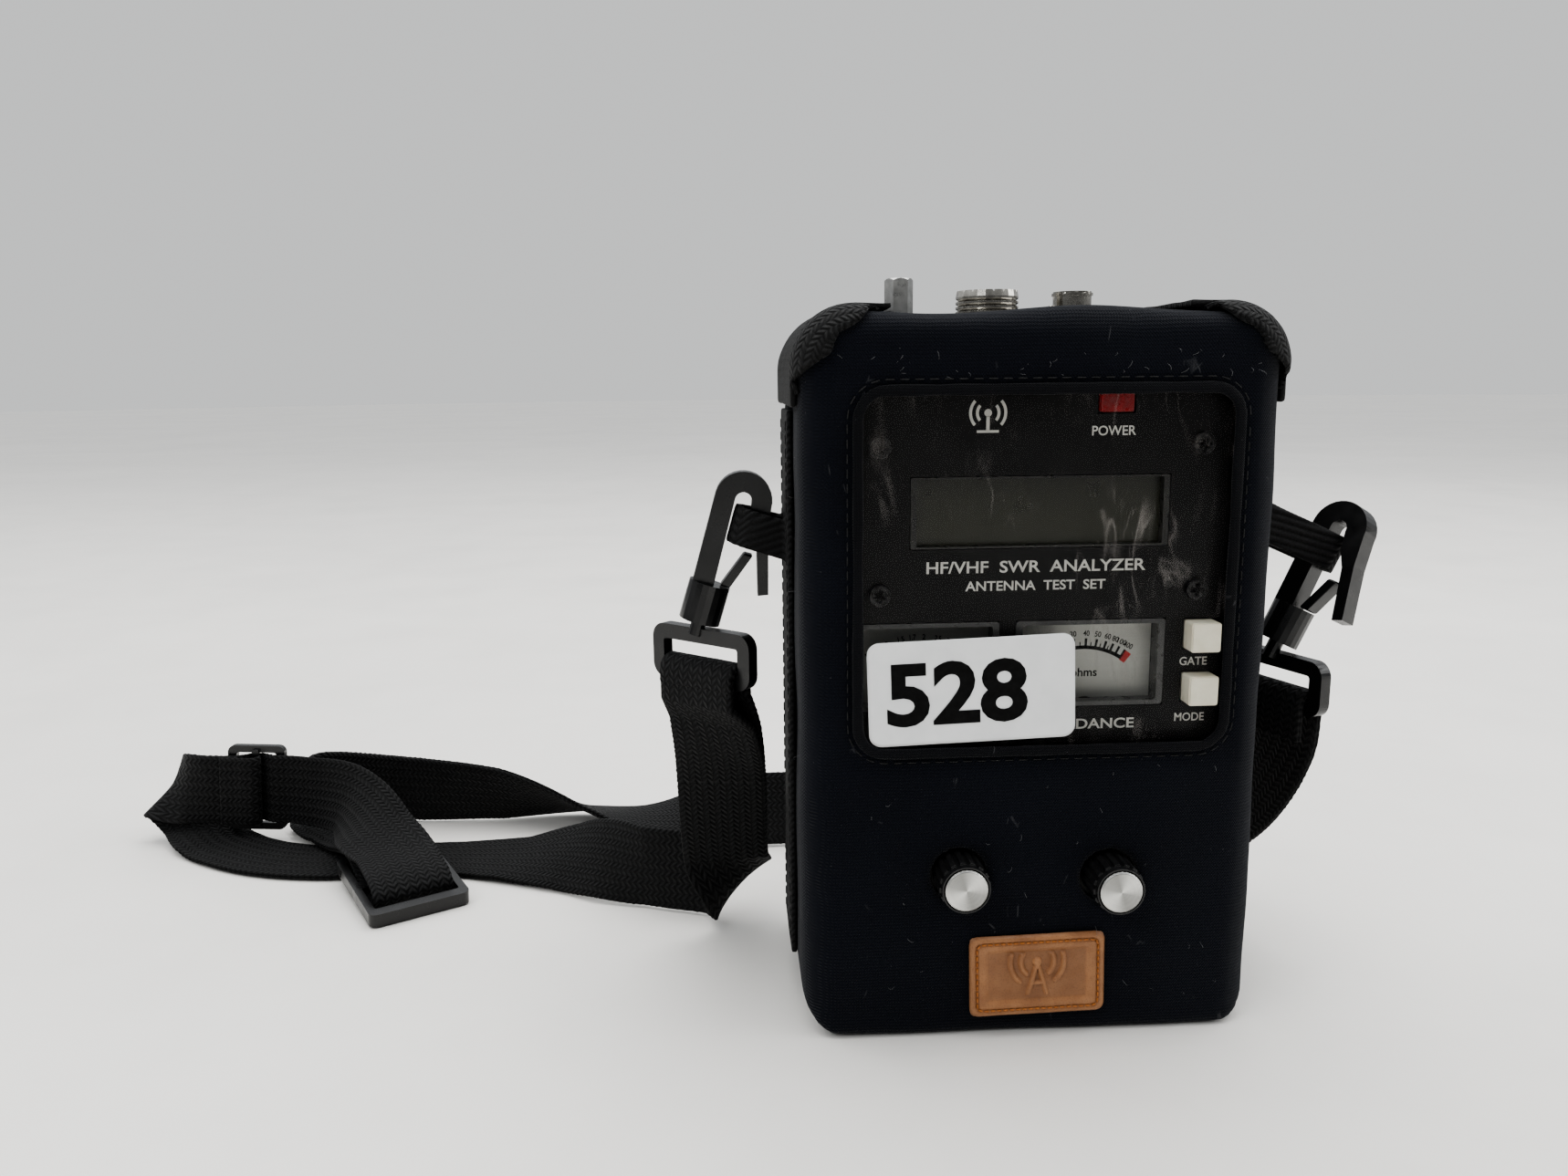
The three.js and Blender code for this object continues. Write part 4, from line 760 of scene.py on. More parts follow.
def capsules(name, ends, radius, look, body=CASE):
    """One mesh of short threads, each a tapered arch from a to b that stands off along n."""
    verts, faces = [], []
    for a, b, n in ends:
        a, b, n = Vector(a), Vector(b), Vector(n).normalized()
        along = (b - a).normalized()
        side = along.cross(n)
        start = len(verts)
        for f in (0, 0.12, 0.5, 0.88, 1):
            middle = a.lerp(b, f) + n * radius * (0.35 if 0 < f < 1 else -0.6)
            thick = radius * (0.5 if f in (0, 1) else 1)
            for k in range(6):
                turn = k * math.pi / 3
                verts.append(middle + (side * math.cos(turn) + n * math.sin(turn)) * thick)
        for i in range(4):
            for k in range(6):
                low, m = start + i * 6, (k + 1) % 6
                faces.append((low + k, low + m, low + 6 + m, low + 6 + k))
        faces.append(tuple(start + k for k in range(5, -1, -1)))
        faces.append(tuple(start + 24 + k for k in range(6)))
    finish_piece(mesh_piece(name, verts, faces), look, body)


def seam(points, normal, length, space):
    """Stitch ends along a line of points, all facing normal."""
    points = np.array(points)
    fine = 0.0002
    _, (line,) = even_steps(points, [points], fine)
    step, size = int(round((length + space) / fine)), int(round(length / fine))
    return [(line[i], line[i + size], normal) for i in range(0, len(line) - size, step)]


def rounded_ring(cx, cz, width, height, radius, y, each=10):
    """The points of a rounded rectangle that faces -Y."""
    out = []
    for sx, sz, start in ((1, 1, 0), (-1, 1, 90), (-1, -1, 180), (1, -1, 270)):
        mx, mz = cx + sx * (width / 2 - radius), cz + sz * (height / 2 - radius)
        for k in range(each + 1):
            turn = math.radians(start + 90 * k / each)
            out.append((mx + radius * math.cos(turn), y, mz + radius * math.sin(turn)))
    return out + [out[0]]


def many_plates(name, outlines, y, thick, look):
    """Thin printed or pressed shapes that face -Y, as one piece; each outline is a list of (x, z)."""
    work = bmesh.new()
    for outline in outlines:
        front = [work.verts.new((x, y - thick, z)) for x, z in outline]
        back = [work.verts.new((x, y, z)) for x, z in outline]
        work.faces.new(front)
        work.faces.new(back[::-1])
        for i in range(len(front)):
            j = (i + 1) % len(front)
            work.faces.new((front[i], back[i], back[j], front[j]))
    bmesh.ops.recalc_face_normals(work, faces=work.faces)
    finish_piece(from_work(name, work), look)


CAP_OF_FONT = 0.69  # height of a capital in Blender's own font, for a size of one


def words(name, text, x, z, y, cap, look, width=None, bold=0.0, tilt=0.0):
    """Lettering that faces -Y, centred at x and z, cap metres high, and width metres wide if given."""
    data = bpy.data.curves.new(name, "FONT")
    data.body = text
    data.align_x = data.align_y = "CENTER"
    data.size = cap / CAP_OF_FONT
    data.offset = bold
    data.extrude = 0.00001
    data.resolution_u = 4
    obj = link(name, data)
    bpy.context.view_layer.update()
    low, high = Vector(obj.bound_box[0]), Vector(obj.bound_box[6])
    middle = (low + high) / 2
    stretch = width / (high.x - low.x) if width else 1
    turn = Matrix.Rotation(math.radians(tilt), 4, "Y") @ Matrix.Rotation(math.pi / 2, 4, "X")
    shape = Matrix.Diagonal((stretch, cap / (high.y - low.y) if width else 1, 1, 1))
    graph = bpy.context.evaluated_depsgraph_get()
    mesh = bpy.data.meshes.new_from_object(obj.evaluated_get(graph))
    bpy.data.objects.remove(obj)
    centred = Matrix.Translation((-middle.x, -middle.y, 0))
    mesh.transform(Matrix.Translation((x, y, z)) @ turn @ shape @ centred)
    finish_piece(link(name, mesh), look)


# ---- the pouch and what is sewn to it

pouch_lo, pouch_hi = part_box("pouch_shell")
bind_lo, bind_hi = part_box("window_binding")
bind_mid = (bind_lo + bind_hi) / 2
bind_size = bind_hi - bind_lo


def pouch_shift(at, face):
    """Foam cloth draws in under the window frame, swells below it and dips between the sockets."""
    at = at.copy()
    x, y, z = at[:, 0], at[:, 1], at[:, 2]
    front_from, fade = 0.0335, 0.002
    front = np.clip((-y - front_from) / fade, 0, 1) * np.clip(-face[:, 1], 0, 1)
    frame_x = np.abs(x - bind_mid.x) - bind_size.x / 2
    frame_z = np.abs(z - bind_mid.z) - bind_size.z / 2
    off = np.maximum(frame_x, frame_z)
    at[:, 1] += front * 0.0005 * np.exp(-((off / 0.003) ** 2))
    below = np.exp(-(((z - 0.055) / 0.02) ** 2)) * np.exp(-((x / 0.04) ** 2))
    at[:, 1] -= front * 0.0004 * below
    top = np.clip((z - pouch_hi.z + 0.004) / 0.003, 0, 1) * np.clip(face[:, 2], 0, 1)
    at[:, 2] += top * 0.0007 * np.sin(x * 95 + 0.6)
    side = np.clip(np.abs(face[:, 0]) - 0.5, 0, 1) * 2
    at[:, 0] += face[:, 0] * side * 0.0002 * np.sin(z * 60)
    return at


# Node, piece, look, voxel, wobble and its reach, rounds of easing, fill, body and shift.
PADDED = (
    ("pouch_shell", "pouch_fabric", NEOPRENE, 0.0011, 0.0005, 0.022, 3, 0.8, CASE, pouch_shift),
    ("window_binding", "window_frame_cloth", BINDING, 0.0005, 0.00022, 0.008, 4, 0.7, CASE, None),
    ("back_pocket", "back_pocket_cloth", NEOPRENE, 0.001, 0.0004, 0.016, 4, 0.5, CASE, None),
    ("pocket_flap", "pocket_flap_cloth", NEOPRENE, 0.0007, 0.0002, 0.016, 3, 0.5, "flap", None),
)
for node, name, look, voxel, wobble, reach, rounds, fill, body, shift in PADDED:
    soft_copy(node, name, look, voxel, wobble, reach, rounds, body, shift)


def corner_uv(at):
    """Runs up the side, round the corner and along the top."""
    side = np.sign(at[:, 0])
    mid_x, mid_z = 0.0442, 0.1663
    turn = np.arctan2(at[:, 2] - mid_z, np.abs(at[:, 0]) - mid_x)
    return np.stack([at[:, 1], np.clip(turn, -0.3, 1.9) * 0.0145 * side], 1)


def side_uv(at):
    return np.stack([at[:, 1], at[:, 2] + 0.3 * np.abs(at[:, 0])], 1)


for side in ("left", "right"):
    name = "corner_webbing_" + side
    flat_uv(soft_copy(name, name + "_cloth", WEBBING, 0.0006, 0.0003, 0.009, 3), corner_uv)
    name = "side_webbing_" + side
    flat_uv(soft_copy(name, name + "_cloth", WEBBING, 0.00055, 0.00016, 0.01, 2), side_uv)


def corner_patch(side):
    """Webbing pulled over a top corner: from the band above it, round the front edge and to a slanted hem."""
    sign = -1 if side == "left" else 1
    mid_x, mid_z, mid_y = pouch_hi.x - 0.013, pouch_hi.z - 0.013, pouch_lo.y + 0.007
    flat_r, edge_r, inner = 0.0143, 0.0083, 0.006
    around, over = 56, 30
    rows = []
    for i in range(around + 1):
        turn = math.radians(-24 + 138 * i / around)
        chord = 0.0149 * math.cos(math.radians(58)) / max(0.3, math.cos(turn - math.radians(45)))
        chord = min(chord + 0.0008 * math.sin((turn - 0.785) * 5), 0.0142)
        hem_y = mid_y - edge_r * math.sqrt(max(0, 1 - min(1, ((chord - inner) / edge_r)) ** 2))
        row = []
        for k in range(over + 1):
            f = k / over
            if f < 0.3:
                out, y = flat_r, mid_y + 0.004 * (1 - f / 0.3)
            else:
                bend = (f - 0.3) / 0.7 * math.pi / 2
                out, y = inner + edge_r * math.cos(bend), mid_y - edge_r * math.sin(bend)
            if out < chord:
                out, y = chord, hem_y + 0.0006 * (f - 0.3)
            y += 0.00018 * drift(turn * 5, f * 7, sign)
            row.append((sign * (mid_x + out * math.cos(turn)), y, mid_z + out * math.sin(turn)))
        rows.append(row)
    pitch = 0.0006
    us = [k * pitch for k in range(over + 1)] + [over * pitch]
    patch = grid_mesh("corner_patch_" + side, rows, (us, [i * pitch for i in range(around + 1)]), False)
    weld = 0.00004
    work = bmesh.new()
    work.from_mesh(patch.data)
    bmesh.ops.remove_doubles(work, verts=work.verts, dist=weld)
    bmesh.ops.recalc_face_normals(work, faces=work.faces)
    work.to_mesh(patch.data)
    work.free()
    finish_piece(thickened(patch, 0.0011), WEBBING)


corner_patch("left")
corner_patch("right")


# Stitching: along both edges and across both ends of each side strip, and round the pocket, flap and window.
strip_lo, strip_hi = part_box("side_webbing_left")
stitches = []
for sign in (-1, 1):
    face_x = sign * (pouch_hi.x + 0.0003 + 0.0016 + 0.0001)
    for edge in (-0.0105, 0.0105):
        ends = [(face_x, edge, strip_lo.z + 0.003), (face_x, edge, strip_hi.z - 0.002)]
        stitches += seam(ends, (sign, 0, 0), 0.0026, 0.0009)
    for z in (strip_lo.z + 0.004, strip_hi.z - 0.006):
        stitches += seam([(face_x, -0.0095, z), (face_x, 0.0095, z)], (sign, 0, 0), 0.0022, 0.0009)
capsules("side_strip_stitching", stitches, 0.00017, THREAD)
pocket_lo, pocket_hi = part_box("back_pocket")
flap_lo, flap_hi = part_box("pocket_flap")
back_y = pocket_hi.y + 0.00005
pocket_high = pocket_hi.z - pocket_lo.z
edge = rounded_ring(0, (pocket_lo.z + pocket_hi.z) / 2 - 0.002, 0.073, pocket_high - 0.012, 0.006, back_y)
edge = edge[11:-11]  # the sides and the bottom, without the mouth
capsules("pocket_stitching", seam(edge, (0, 1, 0), 0.0028, 0.0012), 0.0003, THREAD)
hem = [(-0.0385, 0), (-0.0385, -0.0195), (-0.032, -0.0258), (0.032, -0.0258), (0.0385, -0.0195), (0.0385, 0)]
hem = [(x, flap_hi.y + 0.00005, flap_lo.z + 0.0285 + z) for x, z in hem]
capsules("flap_stitching", seam(hem, (0, 1, 0), 0.0026, 0.0011), 0.0003, THREAD, "flap")
past = 0.0022
ring = (bind_mid.x, bind_mid.z, bind_size.x + past, bind_size.z + past, 0.009, pouch_lo.y - 0.00005, 8)
capsules("window_stitching", seam(rounded_ring(*ring), (0, -1, 0), 0.0022, 0.0012), 0.00016, THREAD)


BADGE_WIDE, BADGE_HIGH = 0.0339, 0.0212


def box_far(x, z, w, h, r):
    """How far a point is outside a rounded rectangle round the origin."""
    dx, dz = np.abs(x) - w / 2 + r, np.abs(z) - h / 2 + r
    return np.hypot(np.maximum(dx, 0), np.maximum(dz, 0)) + np.minimum(np.maximum(dx, dz), 0) - r


def rise(distance, soft=0.00022):
    """A soft step: one inside, nought outside."""
    return 1 / (1 + np.exp(np.clip(distance / soft, -40, 40)))


def mast_and_waves(gx, gz):
    """How far a point is outside the badge's drawing: a splayed mast, a rail, a ball and two waves."""
    mast = np.abs(np.abs(gx) - np.clip(0.0034 - gz, 0, 0.009) * 0.28) - 0.00035
    mast = np.maximum(mast, np.abs(gz + 0.0006) - 0.0046)
    rail = np.maximum(np.abs(gz + 0.002) - 0.0003, np.abs(gx) - 0.0017)
    far = np.hypot(gx, gz - 0.0036)
    waves = np.minimum(np.abs(far - 0.0042), np.abs(far - 0.0068)) - 0.00042
    waves = np.maximum(waves, 0.62 - np.abs(gx) / np.maximum(far, 1e-6))
    waves = np.maximum(waves, np.abs(gz) - 0.0058)
    return np.minimum(np.minimum(np.minimum(mast, rail), waves), far - 0.0009)


def leather_patch():
    """Pressed leather: a raised stitched border round a sunk field with a mast and its waves."""
    mid = middle_of("leather_patch")
    wide, high, corner = BADGE_WIDE, BADGE_HIGH, 0.002
    across, up = 150, 96
    xs, zs = np.linspace(-wide / 2, wide / 2, across), np.linspace(-high / 2, high / 2, up)
    gx, gz = np.meshgrid(xs, zs)
    height = -0.0009 * rise(-box_far(gx, gz, wide - 0.0007, high - 0.0007, corner), 0.00012)
    height -= 0.0004 * np.exp(-((box_far(gx, gz, wide - 0.0034, high - 0.0034, corner * 0.7) / 0.0004) ** 2))
    height -= 0.00065 * rise(box_far(gx, gz, wide - 0.0085, high - 0.0075, 0.0008))
    height += 0.0009 * rise(mast_and_waves(gx, gz), 0.00006)
    turn = math.radians(1.3)
    rows = []
    for k in range(up):
        row = []
        for i in range(across):
            x, z = gx[k, i], gz[k, i]
            if box_far(x, z, wide, high, corner) > 0:
                cx, cz = math.copysign(wide / 2 - corner, x), math.copysign(high / 2 - corner, z)
                away = Vector((x - cx, z - cz)).normalized() * corner
                x, z = cx + away.x, cz + away.y
            y = mid.y - 0.0007 - height[k, i] + 0.00008 * drift(x * 160, z * 160, 4)
            rx, rz = spun(x, z, turn)
            row.append((mid.x + rx, y, mid.z + rz))
        rows.append(row)
    patch = grid_mesh("leather_badge", rows, (list(xs) + [xs[-1]], list(zs)), False)
    thickened(patch, 0.0005)
    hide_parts("leather_patch")
    finish_piece(patch, LEATHER)
    ring = []
    for x, _, z in rounded_ring(0, 0, wide - 0.0034, high - 0.0034, 0.0013, 0, 5):
        rx, rz = spun(x, z, turn)
        ring.append((mid.x + rx, mid.y - 0.00093, mid.z + rz))
    thread = worn("tan_thread", (0.3, 0.095, 0.015), (0.42, 0.15, 0.03), 0.6, size=0.001)
    capsules("badge_stitching", seam(ring, (0, -1, 0), 0.0011, 0.0006), 0.00025, thread)


leather_patch()

# ---- hard parts that keep their CAD shape

# Each row is a look, the rounding of its sharp edges and the parts that have it.
HARD_PARTS = (
    (PAINT, 0, "front_chassis back_cover battery_tray tune_capacitor band_switch"),
    (PAINT, 0, "gate_switch mode_switch power_switch"),
    (BAKED, 0, "panel_overlay"),
    (BOARD, 0, "main_board rf_board"),
    (CELL, 0, "battery_cells"),
    (BEZEL, 0.0002, "display_bezel"),
    (GLASS, 0, "display_glass"),
    (CREAM, 0.0004, "gate_button mode_button"),
    (RED, 0.0003, "power_button"),
    (STEEL, 0.0002, "panel_screw_1 panel_screw_2 panel_screw_3 panel_screw_4"),
    (KNOB, 0.0002, "tune_knob frequency_knob"),
    (NICKEL, 0.00012, "tune_shaft frequency_shaft uhf_socket_shell bnc_socket_shell"),
    (ZINC, 0.0003, "ground_post"),
    (BRASS, 0.0002, "uhf_socket_contact"),
    (PTFE, 0.0002, "uhf_socket_insulator bnc_socket_insulator"),
    (KNOB, 0, "power_jack"),
    (SHELL, 0.0002, "swr_meter_housing impedance_meter_housing"),
    (DIAL, 0, "swr_meter_dial impedance_meter_dial"),
    (NEEDLE, 0, "swr_needle impedance_needle"),
    (ACETAL, 0.0005, "left_hook left_hook_gate left_strap_ring right_hook right_hook_gate right_strap_ring"),
    (ACETAL, 0.0005, "floor_slider"),
    (ACETAL, 0.0003, "standing_slider"),
)
for look, bevel, parts in HARD_PARTS:
    for part in parts.split():
        dress(part, look, bevel)
for knob in ("tune_knob", "frequency_knob"):
    dress(knob + "_cap", cap_look(knob + "_aluminium", knob + "_cap"), 0.00025)


# ---- the clear window and the paper label


def window_sheet():
    """The clear sheet, remade as a fine grid so that it can buckle, with a hole at each key."""
    lo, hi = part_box("window_vinyl")
    keys = [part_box("gate_button"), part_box("mode_button")]
    across, up = 150, 146
    xs, zs = np.linspace(lo.x, hi.x, across), np.linspace(lo.z, hi.z, up)
    mid = (lo + hi) / 2
    verts, faces, index = [], [], {}
    radius, clear = 0.0065, 0.0005

    def open_at(x, z):
        dx = abs(x - mid.x) - (hi.x - lo.x) / 2 + radius
        dz = abs(z - mid.z) - (hi.z - lo.z) / 2 + radius
        if dx > 0 and dz > 0 and math.hypot(dx, dz) > radius:
            return True
        return any(a.x - clear < x < b.x + clear and a.z - clear < z < b.z + clear for a, b in keys)

    for k, z in enumerate(zs):
        for i, x in enumerate(xs):
            if open_at(x, z):
                continue
            ease = min(1.0, min(x - lo.x, hi.x - x, z - lo.z, hi.z - z) / 0.008)
            buckle = drift(x * 60 + z * 22, z * 34, 1.5)
            buckle += 0.5 * drift(x * 130, z * 90, 4.5)
            index[k, i] = len(verts)
            verts.append((x, mid.y + 0.00035 * ease * buckle, z))
    for k in range(up - 1):
        for i in range(across - 1):
            corners = [(k, i), (k, i + 1), (k + 1, i + 1), (k + 1, i)]
            if all(c in index for c in corners):
                faces.append([index[c] for c in corners])
    sheet = mesh_piece("clear_window", verts, faces)
    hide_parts("window_vinyl")
    finish_piece(sheet, VINYL)


window_sheet()


def paper_label():
    """A stuck-on paper label that is a little uneven, with generic digits."""
    mid = middle_of("lot_label")
    wide, high, radius, tilt = 0.05, 0.0256, 0.003, math.radians(1.9)
    across, up = 60, 32
    rows = []
    for k in range(up + 1):
        row = []
        for i in range(across + 1):
            x, z = (i / across - 0.5) * wide, (k / up - 0.5) * high
            cx, cz = math.copysign(wide / 2 - radius, x), math.copysign(high / 2 - radius, z)
            if abs(x) > abs(cx) and abs(z) > abs(cz):
                draw_in = max(abs(x - cx), abs(z - cz)) / math.hypot(x - cx, z - cz)
                x, z = cx + (x - cx) * draw_in, cz + (z - cz) * draw_in
            y = mid.y - 0.00005 + 0.00012 * drift(x * 70, z * 70, 8)
            rx, rz = spun(x, z, tilt)
            row.append((mid.x + rx, y, mid.z + rz))
        rows.append(row)
    uv = ([i / across * wide for i in range(across + 1)] + [wide], [k / up * high for k in range(up + 1)])
    label = thickened(grid_mesh("paper_label", rows, uv, False), 0.0001)
    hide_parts("lot_label")
    finish_piece(label, PAPER)
    spot = (mid.x - 0.0035, mid.z - 0.0004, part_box("lot_label")[0].y - 0.00004)
    words("label_digits", "528", *spot, 0.0158, INK_BLACK, 0.034, 0.0007, -1.9)


paper_label()

# ---- printing on the panel and the dials

panel_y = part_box("panel_overlay")[0].y - 0.00001
swr_x, ohm_x = middle_of("swr_meter_dial").x, middle_of("impedance_meter_dial").x
PIVOT_Z = 0.0803  # both needles turn at this height

# Name, text, middle x and z, height of a capital, width, and extra weight.
PANEL_WORDS = (
    ("power", "POWER", 0.017, 0.15125, 0.0023, 0.0105, 0.00004),
    ("title", "HF/VHF  SWR  ANALYZER", -0.0006, 0.1193, 0.0029, 0.053, 0.00007),
    ("subtitle", "ANTENNA  TEST  SET", -0.0007, 0.1147, 0.0024, 0.034, 0.00006),
    ("gate", "GATE", 0.0388, 0.0951, 0.0021, 0.0068, 0.00004),
    ("mode", "MODE", 0.0385, 0.081, 0.0021, 0.0074, 0.00004),
    ("swr", "SWR", swr_x, 0.0799, 0.0026, 0.0086, 0.00007),
    ("impedance", "IMPEDANCE", ohm_x, 0.0799, 0.0026, 0.0232, 0.00007),
)
for name, text, x, z, cap, width, bold in PANEL_WORDS:
    words("word_" + name, text, x, z, panel_y - (0.0002 if name == "swr" else 0), cap, INK_WHITE, width, bold)


def screw_heads():
    """Crosses of painted shade where the four heads have their recesses, and the small fifth screw beside
    them.
    """
    slots = ([], [])
    reach, half = 0.0015, 0.00032
    for number in range(1, 5):
        mid = middle_of("panel_screw_%d" % number)
        for k in range(2):
            angle = 0.35 * number + k * math.pi / 2
            corners = ((-reach, -half), (reach, -half), (reach, half), (-reach, half))
            slots[k].append([(mid.x + dx, mid.z + dz) for dx, dz in (spun(p, q, angle) for p, q in corners)])
    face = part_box("panel_screw_4")[0].y - 0.00001
    # painted shade: thin black crosses stand for the dark inside each recess
    many_plates("screw_recess_shade", slots[0], face, 0.00003, INK_BLACK)
    many_plates("screw_recess_shade_across", slots[1], face, 0.00004, INK_BLACK)
    turns = np.linspace(0, 2 * math.pi, 21)[:-1]
    disc = [(0.0315 + 0.0013 * math.cos(t), 0.1148 + 0.0013 * math.sin(t)) for t in turns]
    many_plates("small_screw", [disc], panel_y + 0.00001, 0.0005, STEEL)


screw_heads()


def arc_band(cx, cz, r0, r1, start, end, count=24):
    """A band between two radii; angles are from straight up, positive to the right, in degrees."""
    turns = [math.radians(start + (end - start) * k / count) for k in range(count + 1)]
    outer = [(cx + r1 * math.sin(t), cz + r1 * math.cos(t)) for t in turns]
    inner = [(cx + r0 * math.sin(t), cz + r0 * math.cos(t)) for t in reversed(turns)]
    return outer + inner


def panel_symbol():
    """A plain mast with two pairs of waves in the maker's place on the panel."""
    cx, cz = -0.013, 0.1545
    shapes = []
    for half, low, high in ((0.0004, -0.003, 0.0005), (0.0026, -0.0034, -0.0028)):
        corners = ((-half, low), (half, low), (half, high), (-half, high))
        shapes.append([(cx + x, cz + z) for x, z in corners])
    shapes.append(arc_band(cx, cz + 0.0012, 0.0, 0.0009, 0, 359, 20)[:21])
    for r in (0.0022, 0.0038):
        for mid in (90, -90):
            shapes.append(arc_band(cx, cz + 0.0012, r, r + 0.0007, mid - 42, mid + 42, 12))
    many_plates("panel_symbol", shapes, panel_y, 0.00002, INK_WHITE)


panel_symbol()


def dial_print(name, cx, dial_y, numbers, unit, red_from):
    """The scale of a meter: an arc, its ticks, its numbers and a red stop at the end."""
    black = [arc_band(cx, PIVOT_Z, 0.0171, 0.0180, -38, red_from)]
    red = [arc_band(cx, PIVOT_Z, 0.0169, 0.0197, red_from - 1, 38, 6)]
    y = dial_y - 0.00002
    number_r, digit = 0.0211, 0.00078
    for place, text in numbers:
        black.append(arc_band(cx, PIVOT_Z, 0.0178, 0.0198, place - 0.9, place + 0.9, 1))
        turn = math.radians(place)
        spot = (cx + number_r * math.sin(turn), PIVOT_Z + number_r * math.cos(turn), y)
        piece = name + "_no_" + text.replace(".", "_")
        width = digit * len(text.replace(".", ""))
        words(piece, text, *spot, 0.0014, INK_BLACK, width, 0.00003, place * 0.8)
    places = [p for p, _ in numbers]
    for a, b in zip(places, places[1:]):
        if b - a > 5:
            half_way = (a + b) / 2
            black.append(arc_band(cx, PIVOT_Z, 0.0178, 0.0189, half_way - 0.4, half_way + 0.4, 1))
    many_plates(name + "_scale", black, y, 0.00002, INK_BLACK)
    many_plates(name + "_scale_end", red, y, 0.00002, INK_RED)
    words(name + "_unit", unit, cx + 0.0004, PIVOT_Z + 0.0112, y, 0.0021, INK_BLACK, None, 0.00004)


# Degrees from straight up, and the number that stands there.
ohm_numbers = [(-38, "0"), (-27, "10"), (-17, "20"), (-7, "30"), (2, "40")]
ohm_numbers += [(10, "50"), (17, "60"), (22.5, "80"), (27.5, "100"), (32.5, "400")]
swr_numbers = [(-38, "1"), (-24, "1.2"), (-13, "1.5"), (-5, "1.7")]
swr_numbers += [(2.5, "2"), (12, "2.5"), (19, "3"), (28, "5")]
dial_print("ohm", ohm_x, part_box("impedance_meter_dial")[0].y, ohm_numbers, "ohms", 33.5)
dial_print("swr", swr_x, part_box("swr_meter_dial")[0].y, swr_numbers, "SWR", 20)

for meter in ("swr", "impedance"):
    lo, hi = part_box(meter + "_meter_housing")
    mid = (lo + hi) / 2
    outline = [(x, z) for x, _, z in rounded_ring(mid.x, 0.0952, 0.0331, 0.019, 0.0006, 0, 3)[:-1]]
    many_plates(meter + "_meter_lens", [outline], lo.y + 0.0012, 0.0006, LENS)
    turns = np.linspace(-math.pi / 2, math.pi / 2, 24)
    hub = [(mid.x + 0.0055 * math.sin(t), PIVOT_Z + 0.0055 * math.cos(t)) for t in turns]
    many_plates(meter + "_needle_hood", [hub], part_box(meter + "_needle")[0].y - 0.0006, 0.0008, INK_BLACK)

# ---- lint: a few loose fibres, as on the real cloth


def lint():
    verts, faces, places = [], [], []
    for _ in range(70):
        sign = rng.choice((-1, 1))
        z = rng.uniform(0.02, 0.17)
        places.append((Vector((sign * pouch_hi.x, rng.uniform(-0.026, 0.02), z)), Vector((sign, 0, 0))))
    for _ in range(60):
        x, z = rng.uniform(-0.05, 0.05), rng.choice((rng.uniform(0.006, 0.07), rng.uniform(0.164, 0.17)))
        places.append((Vector((x, pouch_lo.y, z)), Vector((0, -1, 0))))
    for at, out in places:
        length = rng.uniform(0.0008, 0.0026)
        bend = Vector((rng.uniform(-1, 1), rng.uniform(-1, 1), rng.uniform(-1, 1))).normalized()
        start = len(verts)
        flat = bend.cross(out).normalized() * 0.00003
        for k in range(5):
            f = k / 4
            middle = at + out * (0.0011 * math.sin(f * math.pi) + 0.00005) + bend * length * f
            verts += [middle - flat, middle + flat]
        for k in range(4):
            a = start + 2 * k
            faces.append((a, a + 1, a + 3, a + 2))
    mesh = bpy.data.meshes.new("lint")
    mesh.from_pydata([tuple(v) for v in verts], [], faces)
    fluff = worn("lint_fibre", (0.1, 0.1, 0.105), (0.22, 0.22, 0.22), 0.9, size=0.001)
    finish_piece(link("lint_fibres", mesh), fluff)


lint()

# ---- floor and light


def floor():
    look = Look("pale_table", (0.78, 0.76, 0.72), 0.55)
    cloth = look.ramp(look.noise(0.35, 4), 0.3, 0.7, 0, 0.6)
    smudge = look.ramp(look.noise(0.05, 5), 0.45, 0.75, 0.0, 0.35)
    body = look.mix(look.plus(cloth, smudge), (0.82, 0.8, 0.765), (0.73, 0.715, 0.685))
    speck = look.ramp(look.cells(0.05), 0.016, 0.01)
    look.color(look.mix(look.times(speck, 0.5), body, (0.25, 0.24, 0.22)))
    look.uneven(0.08, 4, 0.45, 0.65)
    look.bump(look.noise(0.004, 3), 0.0001, 0.4)
    work = bmesh.new()
    bmesh.ops.create_circle(work, cap_ends=True, radius=9, segments=96)
    obj = from_work("table", work)
    obj.location.z = -0.0001
    obj.data.materials.append(look.mat)


floor()


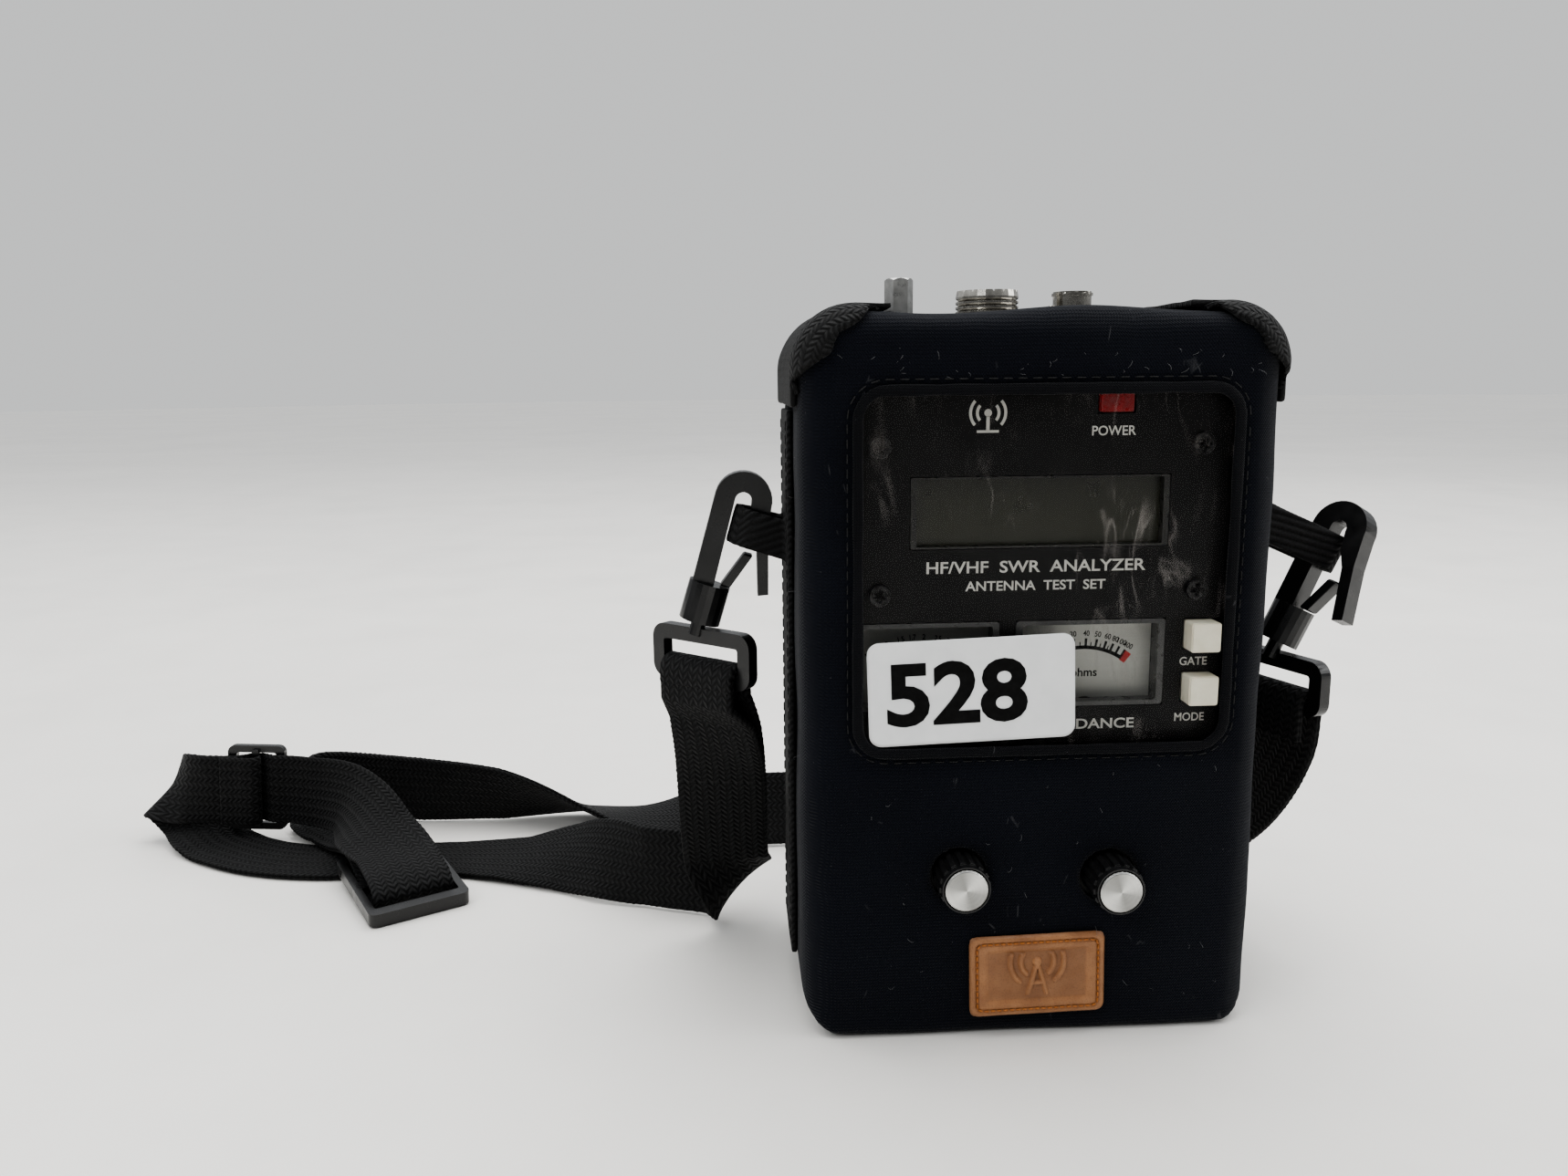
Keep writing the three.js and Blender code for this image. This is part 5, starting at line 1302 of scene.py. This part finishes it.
def light(name, at, aim, size, power, color=(1, 1, 1)):
    data = bpy.data.lights.new(name, "AREA")
    data.shape = "RECTANGLE"
    data.size, data.size_y = size
    data.energy = power
    data.color = color
    obj = link(name, data)
    obj.location = at
    obj.rotation_euler = (Vector(aim) - Vector(at)).to_track_quat("-Z", "Y").to_euler()


light("overhead", (0.0, 0.2, 1.5), (0, 0.05, 0), (2.2, 1.4), 26, (1, 0.995, 0.98))
light("front_left", (-1.0, -1.0, 1.2), (0, 0, 0.08), (0.8, 0.6), 7, (0.97, 0.99, 1))
light("right_side", (1.3, -0.1, 0.8), (0, 0, 0.08), (0.8, 0.8), 6)


def studio():
    """Pale all round to the eye; as a light it is bright above and dim in front."""
    world = bpy.data.worlds.new("studio")
    bpy.context.scene.world = world
    world.use_nodes = True
    tree = world.node_tree

    def add(kind, **values):
        made = tree.nodes.new("ShaderNode" + kind)
        for key, value in values.items():
            made.inputs[key.replace("_", " ")].default_value = value
        return made

    def join(source, socket):
        tree.links.new(source, socket)

    lit = tree.nodes["Background"]
    lit.inputs["Color"].default_value = (0.96, 0.98, 1, 1)
    seen = add("Background", Color=(0.79, 0.80, 0.80, 1), Strength=0.8)
    way = add("SeparateXYZ")
    join(add("TexCoord").outputs["Generated"], way.inputs[0])
    high = add("MapRange", From_Min=-0.1, From_Max=0.7, To_Min=0.12, To_Max=1.3)
    join(way.outputs[2], high.inputs["Value"])
    back = add("MapRange", From_Min=-0.9, From_Max=0.5, To_Min=0.35, To_Max=1.0)
    join(way.outputs[1], back.inputs["Value"])
    both = add("Math")
    both.operation = "MULTIPLY"
    join(high.outputs["Result"], both.inputs[0])
    join(back.outputs["Result"], both.inputs[1])
    join(both.outputs[0], lit.inputs["Strength"])
    mix = add("MixShader")
    join(add("LightPath").outputs["Is Camera Ray"], mix.inputs[0])
    join(lit.outputs[0], mix.inputs[1])
    join(seen.outputs[0], mix.inputs[2])
    join(mix.outputs[0], tree.nodes["World Output"].inputs["Surface"])


studio()
bpy.context.scene.view_settings.look = "AgX - Medium High Contrast"
